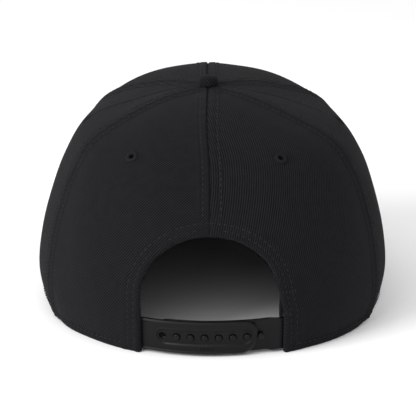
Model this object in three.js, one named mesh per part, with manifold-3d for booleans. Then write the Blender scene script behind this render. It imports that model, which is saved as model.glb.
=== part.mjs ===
// Snapback cap: six cloth panels, a flat visor, a covered button, eyelets, a sweatband and a snap closure.
// Units are millimetres, +Z is up, +Y is the front of the cap and +X is the wearer's right.
// The cap rests on the rim at its back and on the two side lobes of the visor.

import * as THREE from 'three';
import { mergeVertices } from 'three/addons/utils/BufferGeometryUtils.js';
import Module from 'manifold-3d';

const wasm = await Module();
wasm.setup();

// Crown, measured on its outside
const halfWidthLeft = 87.4;
const halfWidthRight = 91.6;
const frontReach = 98;
const backReach = 98;
const crownHeight = 112.4;
const clothWall = 1.8;

// Seams, as bearings round the crown in degrees from the front
const sideSeamBearing = 58;
const backSeamBearing = 113;
const seamDip = 0.7;
const seamDipReach = 8;

// Clearance that neighbouring pieces keep, and how far a flat facet may stand off the true curve
const gap = 0.3;
const facetAllowance = 0.4;

// Visor: a little wider than the crown, cambered across and sloping down to the front
const visorSpread = 1;
const visorLength = 72;
const visorTopThickness = 2.2;
const undervisorThickness = 1;
const visorCamber = 10;
const visorSlope = 0.05;
const visorBearing = 62;
const visorCorner = 2;

// Rim: flat behind the first share of the back reach, lifted to the visor ahead of the second share
const rimFlatShare = 0.58;
const rimLiftShare = 0.35;

// Button on top, and the eyelets
const buttonRadius = 4.7;
const buttonHeight = 5;
const stemRadius = 2;
const eyeletRadius = 3.3;
const eyeletBore = 1.2;
const eyeletSleeve = 2;
const eyeletRise = 0.9;

// Arch over the strap
const archHalfWidth = 34.3;
const archTop = 60.3;
const archSpring = 30;
const archShift = 0.8;

// Bands inside the crown
const facingWidth = 12;
const facingThickness = 1;
const bandHeight = 30;
const bandThickness = 1.3;
const bandInset = 1;
const tapeWidth = 10;
const tapeThickness = 0.8;

// Snap closure
const strapHeight = 17.7;
const strapThickness = 1.4;
const strapBottom = 0.8;
const strapTabMargin = 2;
const strapCorner = 7;
const strapEndMargin = 5.15;
const innerEndMargin = 10.5;
const innerStrapShown = 9;
const strapStepInset = 4.6;
const firstHoleInset = 10.6;
const holePitch = 7.05;
const holeClearance = 0.4;
const studRadius = 1.55;
const studProud = 0.8;
const ribCount = 6;
const ribWidth = 0.8;
const ribPitch = 1.5;
const ribHeight = 2.6;
const ribInset = 1.3;
const ribRise = 0.35;

// Fineness of the meshes
const panelRows = 17;
const visorSteps = 32;
const visorRows = 3;
const bandSteps = 46;
const bandRows = 2;
const facingSteps = 20;
const facingRows = 8;
const tapeRows = 10;
const strapSteps = 16;
const strapRows = 2;
const archSegments = 14;
const pinSides = 12;
const ringSides = 10;
const buttonSides = 18;

// Shares across a panel at which its mesh has a column: close together beside the seams
const panelColumns = [0, 0.025, 0.09, 0.22, 0.36, 0.5, 0.64, 0.78, 0.91, 0.975, 1];

// Shares of a strap's round end at which its mesh has a column: closer towards the tip
const strapEndColumns = [0.3, 0.55, 0.75, 0.9, 1];

// Shape of the crown by level, from the rim to the top. Out is a share of the reach on that side and up
// a share of the crown's height. A square below 1 fills the corners of the level's outline, on the left
// and on the right. Aside is how far the level sits to the right, as a share of the half width.
const crownLevels = [
  { front: [0.985, 0], side: [0.962, 0], back: [0.965, 0], square: [1.06, 1], aside: 0 },
  { front: [1, 0.15], side: [0.997, 0.15], back: [0.99, 0.15], square: [1.01, 0.96], aside: 0 },
  { front: [0.99, 0.32], side: [0.98, 0.32], back: [0.975, 0.32], square: [0.95, 0.94], aside: 0.004 },
  { front: [0.955, 0.51], side: [0.935, 0.48], back: [0.92, 0.51], square: [0.92, 0.91], aside: 0.008 },
  { front: [0.9, 0.725], side: [0.855, 0.655], back: [0.82, 0.69], square: [0.9, 0.89], aside: 0.012 },
  { front: [0.785, 0.924], side: [0.725, 0.81], back: [0.69, 0.815], square: [0.88, 0.88], aside: 0.008 },
  { front: [0.56, 0.994], side: [0.485, 0.91], back: [0.505, 0.91], square: [0.9, 0.9], aside: -0.004 },
  { front: [0.285, 1.012], side: [0.23, 0.98], back: [0.265, 0.975], square: [0.95, 0.95], aside: -0.004 },
  { front: [0, 1], side: [0, 1], back: [0, 1], square: [1, 1], aside: 0.002 },
];

// Half outline of the visor from beside the temple to its front. Across is a share of the half width,
// ahead is a share of the visor's length from the front of the crown.
const visorOutline = [
  { across: 0.965, ahead: -0.38 },
  { across: 1, ahead: 0.1 },
  { across: 0.975, ahead: 0.42 },
  { across: 0.83, ahead: 0.73 },
  { across: 0.55, ahead: 0.925 },
  { across: 0.27, ahead: 0.985 },
  { across: 0, ahead: 1 },
];

// Half section of the button's dome: shares of its radius and of its height
const buttonDome = [
  { out: 0.96, up: 0 },
  { out: 1, up: 0.3 },
  { out: 0.97, up: 0.62 },
  { out: 0.82, up: 0.86 },
  { out: 0.5, up: 0.98 },
  { out: 0, up: 1 },
];

// The six panels by the bearings of their seams. The eyelet's place is a share of the way across the
// panel and a share of the crown's height above the rim.
const backLeftSeam = 360 - backSeamBearing;
const sideLeftSeam = 360 - sideSeamBearing;
const panels = [
  { name: 'front_right', from: 0, to: sideSeamBearing, eyeletAcross: 0.5, eyeletUp: 0.69 },
  { name: 'side_right', from: sideSeamBearing, to: backSeamBearing, eyeletAcross: 0.5, eyeletUp: 0.75 },
  { name: 'back_right', from: backSeamBearing, to: 180, eyeletAcross: 0.58, eyeletUp: 0.81 },
  { name: 'back_left', from: 180, to: backLeftSeam, eyeletAcross: 0.5, eyeletUp: 0.81 },
  { name: 'side_left', from: backLeftSeam, to: sideLeftSeam, eyeletAcross: 0.5, eyeletUp: 0.75 },
  { name: 'front_left', from: sideLeftSeam, to: 360, eyeletAcross: 0.5, eyeletUp: 0.69 },
];

const outerCloth = new THREE.MeshStandardMaterial({ color: '#232325', roughness: 0.92, metalness: 0 });
const innerCloth = new THREE.MeshStandardMaterial({ color: '#1b1b1d', roughness: 0.9, metalness: 0 });
const strapPlastic = new THREE.MeshStandardMaterial({ color: '#1e1f21', roughness: 0.45, metalness: 0 });

// Sizes that follow from the ones above
const middleHalfWidth = (halfWidthLeft + halfWidthRight) / 2;
const visorHalfWidth = middleHalfWidth + visorSpread;
const visorThickness = undervisorThickness + gap + visorTopThickness;
const innerDepth = clothWall + facetAllowance + gap;
const bandTop = bandInset + bandHeight;
const strapTop = strapBottom + strapHeight;
const strapMiddle = (strapBottom + strapTop) / 2;
const strapTab = facingWidth - strapTabMargin;
const holeRadius = studRadius + holeClearance;
const archLeft = archShift - archHalfWidth;
const archRight = archShift + archHalfWidth;
const smallestPanel = Math.min(...panels.map((panel) => panel.to - panel.from));
const tapeEndRadius = (tapeWidth / 2 + gap) / Math.sin(THREE.MathUtils.degToRad(smallestPanel / 2));

// A column of the levels as a smooth curve, read at a share of the way up
function levelCurve(column) {
  return new THREE.SplineCurve(crownLevels.map((row) => new THREE.Vector2(...column(row))));
}

const frontCurve = levelCurve((row) => row.front);
const sideCurve = levelCurve((row) => row.side);
const backCurve = levelCurve((row) => row.back);
const squareCurve = levelCurve((row) => row.square);
const asideCurve = levelCurve((row) => [row.aside, 0]);

function signedPower(value, power) {
  return Math.sign(value) * Math.abs(value) ** power;
}

// Plan of the crown's outside at a bearing and a level
function planPoint(bearing, level) {
  const angle = THREE.MathUtils.degToRad(bearing);
  const sine = Math.sin(angle);
  const cosine = Math.cos(angle);
  const squares = squareCurve.getPoint(level);
  const square = sine > 0 ? squares.y : squares.x;
  const halfWidth = sine > 0 ? halfWidthRight : halfWidthLeft;
  const reach = cosine > 0 ? frontCurve.getPoint(level).x * frontReach : backCurve.getPoint(level).x * backReach;
  const across = sideCurve.getPoint(level).x * halfWidth;
  const aside = asideCurve.getPoint(level).x * middleHalfWidth;
  return new THREE.Vector2(aside + across * signedPower(sine, square), reach * signedPower(cosine, square));
}

// Where the six panels meet, in plan
const crownTop = planPoint(0, 1);

// Height of the visor's underside at a place in plan, before the cap is set down
function camberAt(x, y) {
  const across = x / visorHalfWidth;
  return visorCamber * (1 - across * across) + visorSlope * (frontReach - y);
}

// Outline of the visor at a share from the left temple (-1) to the right temple (1)
function visorEdge(share) {
  const side = share < 0 ? -1 : 1;
  const temple = planPoint(side * visorBearing, 0);
  const points = visorOutline.map(
    (row) => new THREE.Vector2(row.across * visorHalfWidth, frontReach + row.ahead * visorLength),
  );
  points.unshift(new THREE.Vector2(Math.abs(temple.x) + visorCorner, temple.y));
  const point = new THREE.SplineCurve(points).getPoint(1 - Math.abs(share));
  return point.multiply(new THREE.Vector2(side, 1));
}

// The visor touches the ground where its cambered underside is lowest
const visorDrop = Math.min(
  ...Array.from({ length: visorSteps + 1 }, (_, i) => {
    const point = visorEdge((2 * i) / visorSteps - 1);
    return camberAt(point.x, point.y);
  }),
);

function undersideAt(x, y) {
  return camberAt(x, y) - visorDrop;
}

// Height of the crown's rim at a place in plan
function rimAt(x, y) {
  const lift = THREE.MathUtils.smoothstep(y, -rimFlatShare * backReach, rimLiftShare * frontReach);
  return undersideAt(x, y) * lift;
}

// Outside of the crown at a bearing and a level
function crownPoint(bearing, level) {
  const plan = planPoint(bearing, level);
  const cosine = Math.cos(THREE.MathUtils.degToRad(bearing));
  const lengthwise = cosine * cosine;
  const endUp = cosine > 0 ? frontCurve.getPoint(level).y : backCurve.getPoint(level).y;
  const up = lengthwise * endUp + (1 - lengthwise) * sideCurve.getPoint(level).y;
  const rim = rimAt(plan.x, plan.y);
  return new THREE.Vector3(plan.x, plan.y, rim + up * (crownHeight - rim));
}

// Direction square to the crown's outside, found from two short steps along it
function crownNormal(bearing, level) {
  const turn = 0.5;
  const rise = 0.004;
  const round = crownPoint(bearing + turn, level).sub(crownPoint(bearing - turn, level));
  const low = Math.max(level - rise, 0);
  const upward = crownPoint(bearing, low + 2 * rise).sub(crownPoint(bearing, low));
  return upward.cross(round).normalize();
}

// A point at a depth inside the crown's outside. At the rim it keeps the rim's height.
function layerPoint(bearing, level, depth) {
  const outside = crownPoint(bearing, level);
  const point = outside.clone().addScaledVector(crownNormal(bearing, level), -depth);
  if (level === 0) {
    point.z = outside.z;
  }
  return point;
}

// Halves a range until it closes in on where a test stops holding
function lastWhere(low, high, holds) {
  const halvings = 40;
  let from = low;
  let to = high;
  for (let i = 0; i < halvings; i += 1) {
    const middle = (from + to) / 2;
    if (holds(middle)) {
      from = middle;
    } else {
      to = middle;
    }
  }
  return from;
}

// Level at which the crown's outside reaches a height above its own rim
function levelAt(bearing, height) {
  return lastWhere(0, 1, (level) => {
    const point = crownPoint(bearing, level);
    return point.z - rimAt(point.x, point.y) < height;
  });
}

// Level at which the crown closes in to a radius round the button
function levelAtRadius(bearing, radius) {
  return lastWhere(0.5, 1, (level) => planPoint(bearing, level).distanceTo(crownTop) > radius);
}

// Bearing on the back of the crown at which a level has a given x
function bearingAtX(x, level) {
  return lastWhere(90, 270, (bearing) => planPoint(bearing, level).x > x);
}

// Degrees of bearing that span a distance along the crown, at a bearing and a level
function turnFor(distance, bearing, level) {
  const run = crownPoint(bearing + 0.5, level).distanceTo(crownPoint(bearing - 0.5, level));
  return distance / run;
}

// Turns a closed mesh the right way out
function outward(geometry) {
  const position = geometry.getAttribute('position');
  const index = geometry.index.array;
  const corner = [new THREE.Vector3(), new THREE.Vector3(), new THREE.Vector3()];
  let volume = 0;
  for (let i = 0; i < index.length; i += 3) {
    corner.forEach((vector, k) => vector.fromBufferAttribute(position, index[i + k]));
    volume += corner[0].dot(corner[1].clone().cross(corner[2]));
  }
  if (volume < 0) {
    for (let i = 0; i < index.length; i += 3) {
      [index[i], index[i + 1]] = [index[i + 1], index[i]];
    }
  }
  return geometry;
}

// A closed sheet with an outer and an inner face over the same grid of shares
function closedSheet(columns, rows, outer, inner) {
  const positions = [];
  const index = [];
  const size = columns.length * rows.length;
  [outer, inner].forEach((face) => {
    columns.forEach((u) => {
      rows.forEach((v) => {
        positions.push(...face(u, v).toArray());
      });
    });
  });
  const at = (face, i, j) => face * size + i * rows.length + j;
  const quad = (a, b, c, d) => index.push(a, b, c, a, c, d);
  const lastColumn = columns.length - 1;
  const lastRow = rows.length - 1;
  for (let i = 0; i < lastColumn; i += 1) {
    for (let j = 0; j < lastRow; j += 1) {
      quad(at(0, i, j), at(0, i + 1, j), at(0, i + 1, j + 1), at(0, i, j + 1));
      quad(at(1, i, j), at(1, i, j + 1), at(1, i + 1, j + 1), at(1, i + 1, j));
    }
    quad(at(0, i, 0), at(1, i, 0), at(1, i + 1, 0), at(0, i + 1, 0));
    quad(at(0, i, lastRow), at(0, i + 1, lastRow), at(1, i + 1, lastRow), at(1, i, lastRow));
  }
  for (let j = 0; j < lastRow; j += 1) {
    quad(at(0, 0, j), at(0, 0, j + 1), at(1, 0, j + 1), at(1, 0, j));
    quad(at(0, lastColumn, j), at(1, lastColumn, j), at(1, lastColumn, j + 1), at(0, lastColumn, j + 1));
  }
  const geometry = new THREE.BufferGeometry();
  geometry.setAttribute('position', new THREE.Float32BufferAttribute(positions, 3));
  geometry.setIndex(index);
  return outward(geometry);
}

function evenShares(count) {
  return Array.from({ length: count + 1 }, (_, i) => i / count);
}

// Solids for joining and cutting
function solidOf(geometry) {
  const bare = geometry.clone();
  bare.deleteAttribute('normal');
  bare.deleteAttribute('uv');
  const merged = mergeVertices(bare, 1e-4);
  return new wasm.Manifold(
    new wasm.Mesh({
      numProp: 3,
      vertProperties: new Float32Array(merged.getAttribute('position').array),
      triVerts: new Uint32Array(merged.index.array),
    }),
  );
}

function geometryOf(solid) {
  const mesh = solid.getMesh();
  const geometry = new THREE.BufferGeometry();
  geometry.setAttribute('position', new THREE.Float32BufferAttribute(mesh.vertProperties, 3));
  geometry.setIndex(Array.from(mesh.triVerts));
  return geometry;
}

function namedMesh(name, geometry, material) {
  const flat = geometry.toNonIndexed();
  flat.computeVertexNormals();
  const mesh = new THREE.Mesh(flat, material.clone());
  mesh.name = name;
  return mesh;
}

// Stands a shape made along +Z on a place, pointing in a direction
function standOn(geometry, { place, direction }) {
  geometry.applyQuaternion(new THREE.Quaternion().setFromUnitVectors(new THREE.Vector3(0, 0, 1), direction));
  return geometry.translate(place.x, place.y, place.z);
}

// A round pin on a place, between two heights along its direction
function pinOn(seat, radius, from, to) {
  const pin = new THREE.CylinderGeometry(radius, radius, to - from, pinSides);
  pin.rotateX(Math.PI / 2);
  pin.translate(0, 0, (from + to) / 2);
  return solidOf(standOn(pin, seat));
}

// A drill through whatever is within a reach of a place on both sides
function drillOn(seat, radius, reach) {
  return pinOn(seat, radius, -reach, reach);
}

// The arch as a block that cuts the back of the crown, larger than the opening by a margin
function archBlock(margin) {
  const half = archHalfWidth + margin;
  const shape = new THREE.Shape();
  shape.moveTo(archShift - half, -crownHeight);
  shape.lineTo(archShift + half, -crownHeight);
  shape.lineTo(archShift + half, archSpring);
  shape.absellipse(archShift, archSpring, half, archTop - archSpring + margin, 0, Math.PI, false, 0);
  shape.lineTo(archShift - half, -crownHeight);
  const block = new THREE.ExtrudeGeometry(shape, {
    depth: backReach + crownHeight,
    bevelEnabled: false,
    curveSegments: archSegments,
  });
  block.rotateX(Math.PI / 2);
  return solidOf(block);
}

// Where the eyelet of a panel sits, and which way it faces
function eyeletSeat(panel) {
  const bearing = panel.from + panel.eyeletAcross * (panel.to - panel.from);
  const level = levelAt(bearing, panel.eyeletUp * crownHeight);
  return { place: crownPoint(bearing, level), direction: crownNormal(bearing, level) };
}

// A crown panel between two seams, with its outside rolled in at the seams and its eyelet hole
function panelSolid(panel) {
  const span = panel.to - panel.from;
  const topLevel = levelAtRadius((panel.from + panel.to) / 2, stemRadius + 2 * gap);
  const bearingOf = (u, level) => {
    const fromMargin = turnFor(gap / 2, panel.from, level);
    const toMargin = turnFor(gap / 2, panel.to, level);
    return panel.from + fromMargin + u * (span - fromMargin - toMargin);
  };
  const dipAt = (u, level) => {
    const fromSeam = Math.min(u, 1 - u) * span;
    const reach = turnFor(seamDipReach, bearingOf(u, level), level);
    return seamDip * Math.max(1 - fromSeam / reach, 0) ** 2;
  };
  const outer = (u, v) => {
    const level = v * topLevel;
    return layerPoint(bearingOf(u, level), level, dipAt(u, level));
  };
  const inner = (u, v) => {
    const level = v * topLevel;
    return layerPoint(bearingOf(u, level), level, clothWall);
  };
  const sheet = closedSheet(panelColumns, evenShares(panelRows), outer, inner);
  return solidOf(sheet).subtract(drillOn(eyeletSeat(panel), eyeletSleeve + gap, innerDepth + clothWall));
}

// The embroidered ring of an eyelet: a raised ring outside, a sleeve through the hole, a flat ring inside
function eyeletGeometry(panel) {
  const inside = -innerDepth - gap;
  const insideFace = inside - eyeletRise / 2;
  const crest = gap + eyeletRise;
  const profile = [
    new THREE.Vector2(eyeletBore, insideFace),
    new THREE.Vector2(eyeletRadius, insideFace),
    new THREE.Vector2(eyeletRadius, inside),
    new THREE.Vector2(eyeletSleeve, inside),
    new THREE.Vector2(eyeletSleeve, gap),
    new THREE.Vector2(eyeletRadius, gap),
    new THREE.Vector2((2 * eyeletRadius + eyeletSleeve) / 3, gap + (crest - gap) / 2),
    new THREE.Vector2((eyeletRadius + eyeletSleeve) / 2, crest),
    new THREE.Vector2(eyeletBore, gap),
    new THREE.Vector2(eyeletBore, insideFace),
  ];
  const ring = new THREE.LatheGeometry(profile, ringSides);
  ring.rotateX(Math.PI / 2);
  return geometryOf(solidOf(standOn(ring, eyeletSeat(panel))));
}

// A layer of the visor between two heights above its underside
function visorLayer(from, to) {
  const place = (u, v) => {
    const share = 2 * u - 1;
    const bearing = share * visorBearing;
    const low = planPoint(bearing, 0);
    const high = planPoint(bearing, levelAt(bearing, visorThickness));
    const wall = low.length() > high.length() ? low : high;
    wall.setLength(wall.length() + gap);
    return wall.lerp(visorEdge(share), v);
  };
  const face = (height) => (u, v) => {
    const point = place(u, v);
    return new THREE.Vector3(point.x, point.y, undersideAt(point.x, point.y) + height);
  };
  return closedSheet(evenShares(visorSteps), evenShares(visorRows), face(to), face(from));
}

// A band inside the crown between two bearings and two heights above the rim
function innerBand({ from, to, bottom, top, thickness, steps, rows }) {
  const face = (depth) => (u, v) => {
    const bearing = from + u * (to - from);
    return layerPoint(bearing, levelAt(bearing, bottom + v * (top - bottom)), depth);
  };
  return closedSheet(evenShares(steps), evenShares(rows), face(innerDepth), face(innerDepth + thickness));
}

// The sweatband runs round the front from one side of the arch's facing to the other
function sweatbandGeometry() {
  const beside = facingWidth + 2 * gap;
  const levels = [0, levelAt(180, bandTop)];
  return innerBand({
    from: Math.max(...levels.map((level) => bearingAtX(archLeft - beside, level))) - 360,
    to: Math.min(...levels.map((level) => bearingAtX(archRight + beside, level))),
    bottom: bandInset,
    top: bandTop,
    thickness: bandThickness,
    steps: bandSteps,
    rows: bandRows,
  });
}

// The facing lines the edge of the arch down to the top of the strap
function facingGeometry() {
  const spare = 2 * facingWidth;
  const band = innerBand({
    from: bearingAtX(archRight + spare, 0),
    to: bearingAtX(archLeft - spare, 0),
    bottom: strapTop + gap,
    top: archTop + spare,
    thickness: facingThickness,
    steps: facingSteps,
    rows: facingRows,
  });
  return geometryOf(solidOf(band).subtract(archBlock(0)).intersect(archBlock(facingWidth - gap)));
}

// A tape over the inside of a seam, from above the sweatband or the facing to below the button
function tapeGeometry(bearing, bottom) {
  const lowLevel = levelAt(bearing, bottom);
  const highLevel = levelAtRadius(bearing, tapeEndRadius);
  const face = (depth) => (u, v) => {
    const level = lowLevel + v * (highLevel - lowLevel);
    const turn = turnFor(tapeWidth, bearing, level);
    return layerPoint(bearing + (u - 0.5) * turn, level, depth);
  };
  return closedSheet(evenShares(2), evenShares(tapeRows), face(innerDepth), face(innerDepth + tapeThickness));
}

// The covered button: a dome over the meeting of the panels, with a stem through them. It sits on the
// highest of the seams round it.
function buttonGeometry() {
  const seat = Math.max(
    ...panels.map((panel) => crownPoint(panel.from, levelAtRadius(panel.from, buttonRadius)).z),
  );
  const stemEnd = crownHeight - seat - innerDepth - gap;
  const profile = [
    new THREE.Vector2(0, stemEnd),
    new THREE.Vector2(stemRadius, stemEnd),
    new THREE.Vector2(stemRadius, gap),
    ...buttonDome.map((row) => new THREE.Vector2(row.out * buttonRadius, gap + row.up * buttonHeight)),
  ];
  const dome = new THREE.LatheGeometry(profile, buttonSides);
  dome.rotateX(Math.PI / 2);
  dome.translate(crownTop.x, crownTop.y, seat);
  return geometryOf(solidOf(dome));
}

// Holes and studs along the strap, as places in x
const strapLevel = levelAt(180, strapMiddle);
const holeRun = archRight - archLeft - firstHoleInset - strapEndMargin - innerStrapShown;
const holeCount = Math.floor(holeRun / holePitch) + 1;
const holeXs = Array.from({ length: holeCount }, (_, i) => archLeft + firstHoleInset + i * holePitch);
const studXs = holeXs.map((x) => x + holePitch).filter((x) => x + studRadius + gap < archRight);
const outerStrapEnd = holeXs[holeCount - 1] + strapEndMargin;
const innerStrapEnd = studXs[0] - innerEndMargin;

// A strap with one round end, from its sewn end to its free end, at a depth that may change on the way
function strapSheet(sewn, end, depthAt) {
  const length = Math.abs(end - sewn) / turnFor(1, 180, strapLevel);
  const straight = 1 - strapCorner / length;
  const columns = [
    ...evenShares(strapSteps).map((u) => u * straight),
    ...strapEndColumns.map((u) => straight + u * (1 - straight)),
  ];
  const face = (layer) => (u, v) => {
    const bearing = sewn + u * (end - sewn);
    const into = THREE.MathUtils.clamp((u - straight) / (1 - straight), 0, 1);
    const cut = strapCorner * (1 - Math.sqrt(1 - into * into));
    const height = strapMiddle + (v - 0.5) * (strapHeight - 2 * cut);
    return layerPoint(bearing, levelAt(bearing, height), depthAt(bearing) + layer);
  };
  return solidOf(closedSheet(columns, evenShares(strapRows), face(0), face(strapThickness)));
}

// A place on a strap, with the direction square to its face
function strapSeat(x, height, depth) {
  const level = levelAt(180, height);
  const bearing = bearingAtX(x, level);
  return { place: layerPoint(bearing, level, depth), direction: crownNormal(bearing, level) };
}

// The outer strap, sewn in on the left, with its row of holes and a patch of short ribs
function strapWithHoles() {
  const edge = bearingAtX(archLeft, strapLevel);
  const sewn = edge + turnFor(strapTab, edge, strapLevel);
  let strap = strapSheet(sewn, bearingAtX(outerStrapEnd, strapLevel), () => innerDepth);
  holeXs.forEach((x) => {
    const seat = strapSeat(x, strapMiddle, innerDepth);
    strap = strap.subtract(drillOn(seat, holeRadius, innerDepth + strapThickness));
  });
  for (let i = 0; i < ribCount; i += 1) {
    const x = archShift + (i - (ribCount - 1) / 2) * ribPitch;
    const rib = new THREE.BoxGeometry(ribWidth, ribHeight, 2 * ribRise);
    strap = strap.add(solidOf(standOn(rib, strapSeat(x, strapBottom + ribInset + ribHeight / 2, innerDepth))));
  }
  return geometryOf(strap);
}

// The inner strap, sewn in on the right. It runs behind the outer one, and its studs pass through the holes.
function strapWithStuds() {
  const edge = bearingAtX(archRight, strapLevel);
  const sewn = edge - turnFor(strapTab, edge, strapLevel);
  const behind = innerDepth + strapThickness + gap;
  const stepEnd = bearingAtX(outerStrapEnd + strapStepInset, strapLevel);
  const depthAt = (bearing) => {
    const share = THREE.MathUtils.smoothstep(bearing, edge, stepEnd);
    return innerDepth + share * (behind - innerDepth);
  };
  let strap = strapSheet(sewn, bearingAtX(innerStrapEnd, strapLevel), depthAt);
  studXs.forEach((x) => {
    const seat = strapSeat(x, strapMiddle, behind);
    strap = strap.add(pinOn(seat, studRadius, -strapThickness / 2, gap + strapThickness + studProud));
  });
  return geometryOf(strap);
}

const cap = new THREE.Group();
const archCut = archBlock(0);

panels.forEach((panel) => {
  const whole = panelSolid(panel);
  const solid = panel.name.startsWith('back') ? whole.subtract(archCut) : whole;
  cap.add(namedMesh(`crown_${panel.name}`, geometryOf(solid), outerCloth));
  cap.add(namedMesh(`eyelet_${panel.name}`, eyeletGeometry(panel), outerCloth));
});

cap.add(namedMesh('undervisor', visorLayer(0, undervisorThickness), outerCloth));
cap.add(namedMesh('visor_top', visorLayer(undervisorThickness + gap, visorThickness), outerCloth));
cap.add(namedMesh('button', buttonGeometry(), outerCloth));
cap.add(namedMesh('sweatband', sweatbandGeometry(), innerCloth));
cap.add(namedMesh('arch_facing', facingGeometry(), innerCloth));

// The crown leans over the arch, so a layer inside it lies lower than the outside by about this
const leanDrop = (innerDepth + tapeThickness) / 2;
const tapes = [
  { name: 'tape_front_centre', bearing: 0, bottom: bandTop + gap },
  { name: 'tape_front_right', bearing: sideSeamBearing, bottom: bandTop + gap },
  { name: 'tape_back_right', bearing: backSeamBearing, bottom: bandTop + gap },
  { name: 'tape_back_centre', bearing: 180, bottom: archTop + facingWidth + leanDrop },
  { name: 'tape_back_left', bearing: backLeftSeam, bottom: bandTop + gap },
  { name: 'tape_front_left', bearing: sideLeftSeam, bottom: bandTop + gap },
];
tapes.forEach((tape) => {
  cap.add(namedMesh(tape.name, tapeGeometry(tape.bearing, tape.bottom), innerCloth));
});

cap.add(namedMesh('strap_with_holes', strapWithHoles(), strapPlastic));
cap.add(namedMesh('strap_with_studs', strapWithStuds(), strapPlastic));

// The origin is under the middle of the cap, on the surface that it rests on
const bounds = new THREE.Box3().setFromObject(cap);
const centre = bounds.getCenter(new THREE.Vector3());
cap.position.set(-centre.x, -centre.y, -bounds.min.z);

export default cap;
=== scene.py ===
"""Looks of a snapback cap: sewn cloth panels, a flat visor, bands inside and a plastic snap strap.

The cap stands on the surface z = 0. Every length is in metres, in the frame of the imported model, and
every surface is worked out from the same named sizes as the solids that it stands in for.
"""

import logging
import math
from collections.abc import Callable, Sequence
from dataclasses import dataclass
from enum import Enum

import bpy
import numpy as np
from bpy.types import Material, Node, NodeSocket, NodeTree, Object, World
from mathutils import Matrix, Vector


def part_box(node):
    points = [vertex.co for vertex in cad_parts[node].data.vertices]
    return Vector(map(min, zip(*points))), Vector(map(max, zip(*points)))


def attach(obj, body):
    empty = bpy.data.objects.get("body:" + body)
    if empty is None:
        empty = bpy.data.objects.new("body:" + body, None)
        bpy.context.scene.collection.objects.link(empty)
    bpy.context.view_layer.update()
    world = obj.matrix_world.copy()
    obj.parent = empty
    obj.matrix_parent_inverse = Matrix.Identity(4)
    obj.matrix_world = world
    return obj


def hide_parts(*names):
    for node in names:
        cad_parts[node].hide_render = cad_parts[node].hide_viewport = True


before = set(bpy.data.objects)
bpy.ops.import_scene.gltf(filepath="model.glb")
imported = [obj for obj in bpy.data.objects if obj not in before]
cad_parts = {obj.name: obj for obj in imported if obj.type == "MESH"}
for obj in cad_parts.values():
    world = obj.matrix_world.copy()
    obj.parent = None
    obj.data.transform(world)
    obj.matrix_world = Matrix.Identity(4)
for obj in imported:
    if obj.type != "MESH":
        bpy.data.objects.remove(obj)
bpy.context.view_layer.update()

log = logging.getLogger("cap")

MM = 0.001
ROOT = "root"


class Slot(Enum):
    """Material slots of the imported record."""

    OUTER = "outer_cloth"
    INNER = "inner_cloth"
    EYELET = "eyelet_thread"
    STRAP = "strap_plastic"


# Sizes


@dataclass(frozen=True)
class CrownSizes:
    """Sizes of the crown's outside and of the cloth."""

    half_left: float = 87.4 * MM
    half_right: float = 91.6 * MM
    front_reach: float = 98 * MM
    back_reach: float = 98 * MM
    height: float = 112.4 * MM
    wall: float = 1.8 * MM
    lining_depth: float = 2.5 * MM
    rim_flat_share: float = 0.58
    rim_lift_share: float = 0.35

    @property
    def half_middle(self) -> float:
        """Mean of the two half widths."""
        return (self.half_left + self.half_right) / 2


@dataclass(frozen=True)
class VisorSizes:
    """Sizes of the visor."""

    spread: float = 1 * MM
    length: float = 72 * MM
    camber: float = 10 * MM
    slope: float = 0.05
    bearing: float = 62
    corner: float = 2 * MM
    under_thickness: float = 1 * MM
    gap: float = 0.3 * MM
    top_thickness: float = 2.2 * MM


@dataclass(frozen=True)
class ArchSizes:
    """Sizes of the arch over the strap."""

    half_width: float = 34.3 * MM
    top: float = 60.3 * MM
    spring: float = 30 * MM
    shift: float = 0.8 * MM
    flare: float = 2.6 * MM
    flare_low: float = 20 * MM
    flare_high: float = 34 * MM


# Rows: level from rim to top. Columns: front out, front up, side out, side up, back out, back up,
# square on the left, square on the right, aside.
LEVELS = np.array(
    [
        [0.985, 0, 0.962, 0, 0.965, 0, 1.06, 1, 0],
        [1, 0.15, 0.997, 0.15, 0.99, 0.15, 1.01, 0.96, 0],
        [0.99, 0.32, 0.98, 0.32, 0.975, 0.32, 0.95, 0.94, 0.004],
        [0.955, 0.51, 0.935, 0.48, 0.92, 0.51, 0.92, 0.91, 0.008],
        [0.9, 0.725, 0.855, 0.655, 0.82, 0.69, 0.9, 0.89, 0.012],
        [0.785, 0.924, 0.725, 0.81, 0.69, 0.815, 0.88, 0.88, 0.008],
        [0.56, 0.994, 0.485, 0.91, 0.505, 0.91, 0.9, 0.9, -0.004],
        [0.285, 1.012, 0.23, 0.98, 0.265, 0.975, 0.95, 0.95, -0.004],
        [0, 1, 0, 1, 0, 1, 1, 1, 0.002],
    ]
)

# Half outline of the visor: shares of its half width and of its length
VISOR_OUTLINE = np.array(
    [
        [0.965, -0.38],
        [1, 0.1],
        [0.975, 0.42],
        [0.83, 0.73],
        [0.55, 0.925],
        [0.27, 0.985],
        [0, 1],
    ]
)

FULL_TURN = 360

# Seams by bearing in degrees from the front, clockwise from above
FRONT_SEAM = 0.0
SIDE_SEAM = 58.0
BACK_SEAM = 113.0
CENTRE_SEAM = 180.0
BACK_SEAM_LEFT = FULL_TURN - BACK_SEAM
SIDE_SEAM_LEFT = FULL_TURN - SIDE_SEAM
SEAMS = (FRONT_SEAM, SIDE_SEAM, BACK_SEAM, CENTRE_SEAM, BACK_SEAM_LEFT, SIDE_SEAM_LEFT)


@dataclass(frozen=True)
class PanelPlan:
    """One crown panel: its seams, the place of its eyelet and the fineness of its mesh.

    The steps say how proud of its neighbour the panel lies at each of its two seams.
    """

    name: str
    start: float
    end: float
    eyelet_across: float
    eyelet_up: float
    step_start: float
    step_end: float
    cell: float = 1.7 * MM


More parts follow.
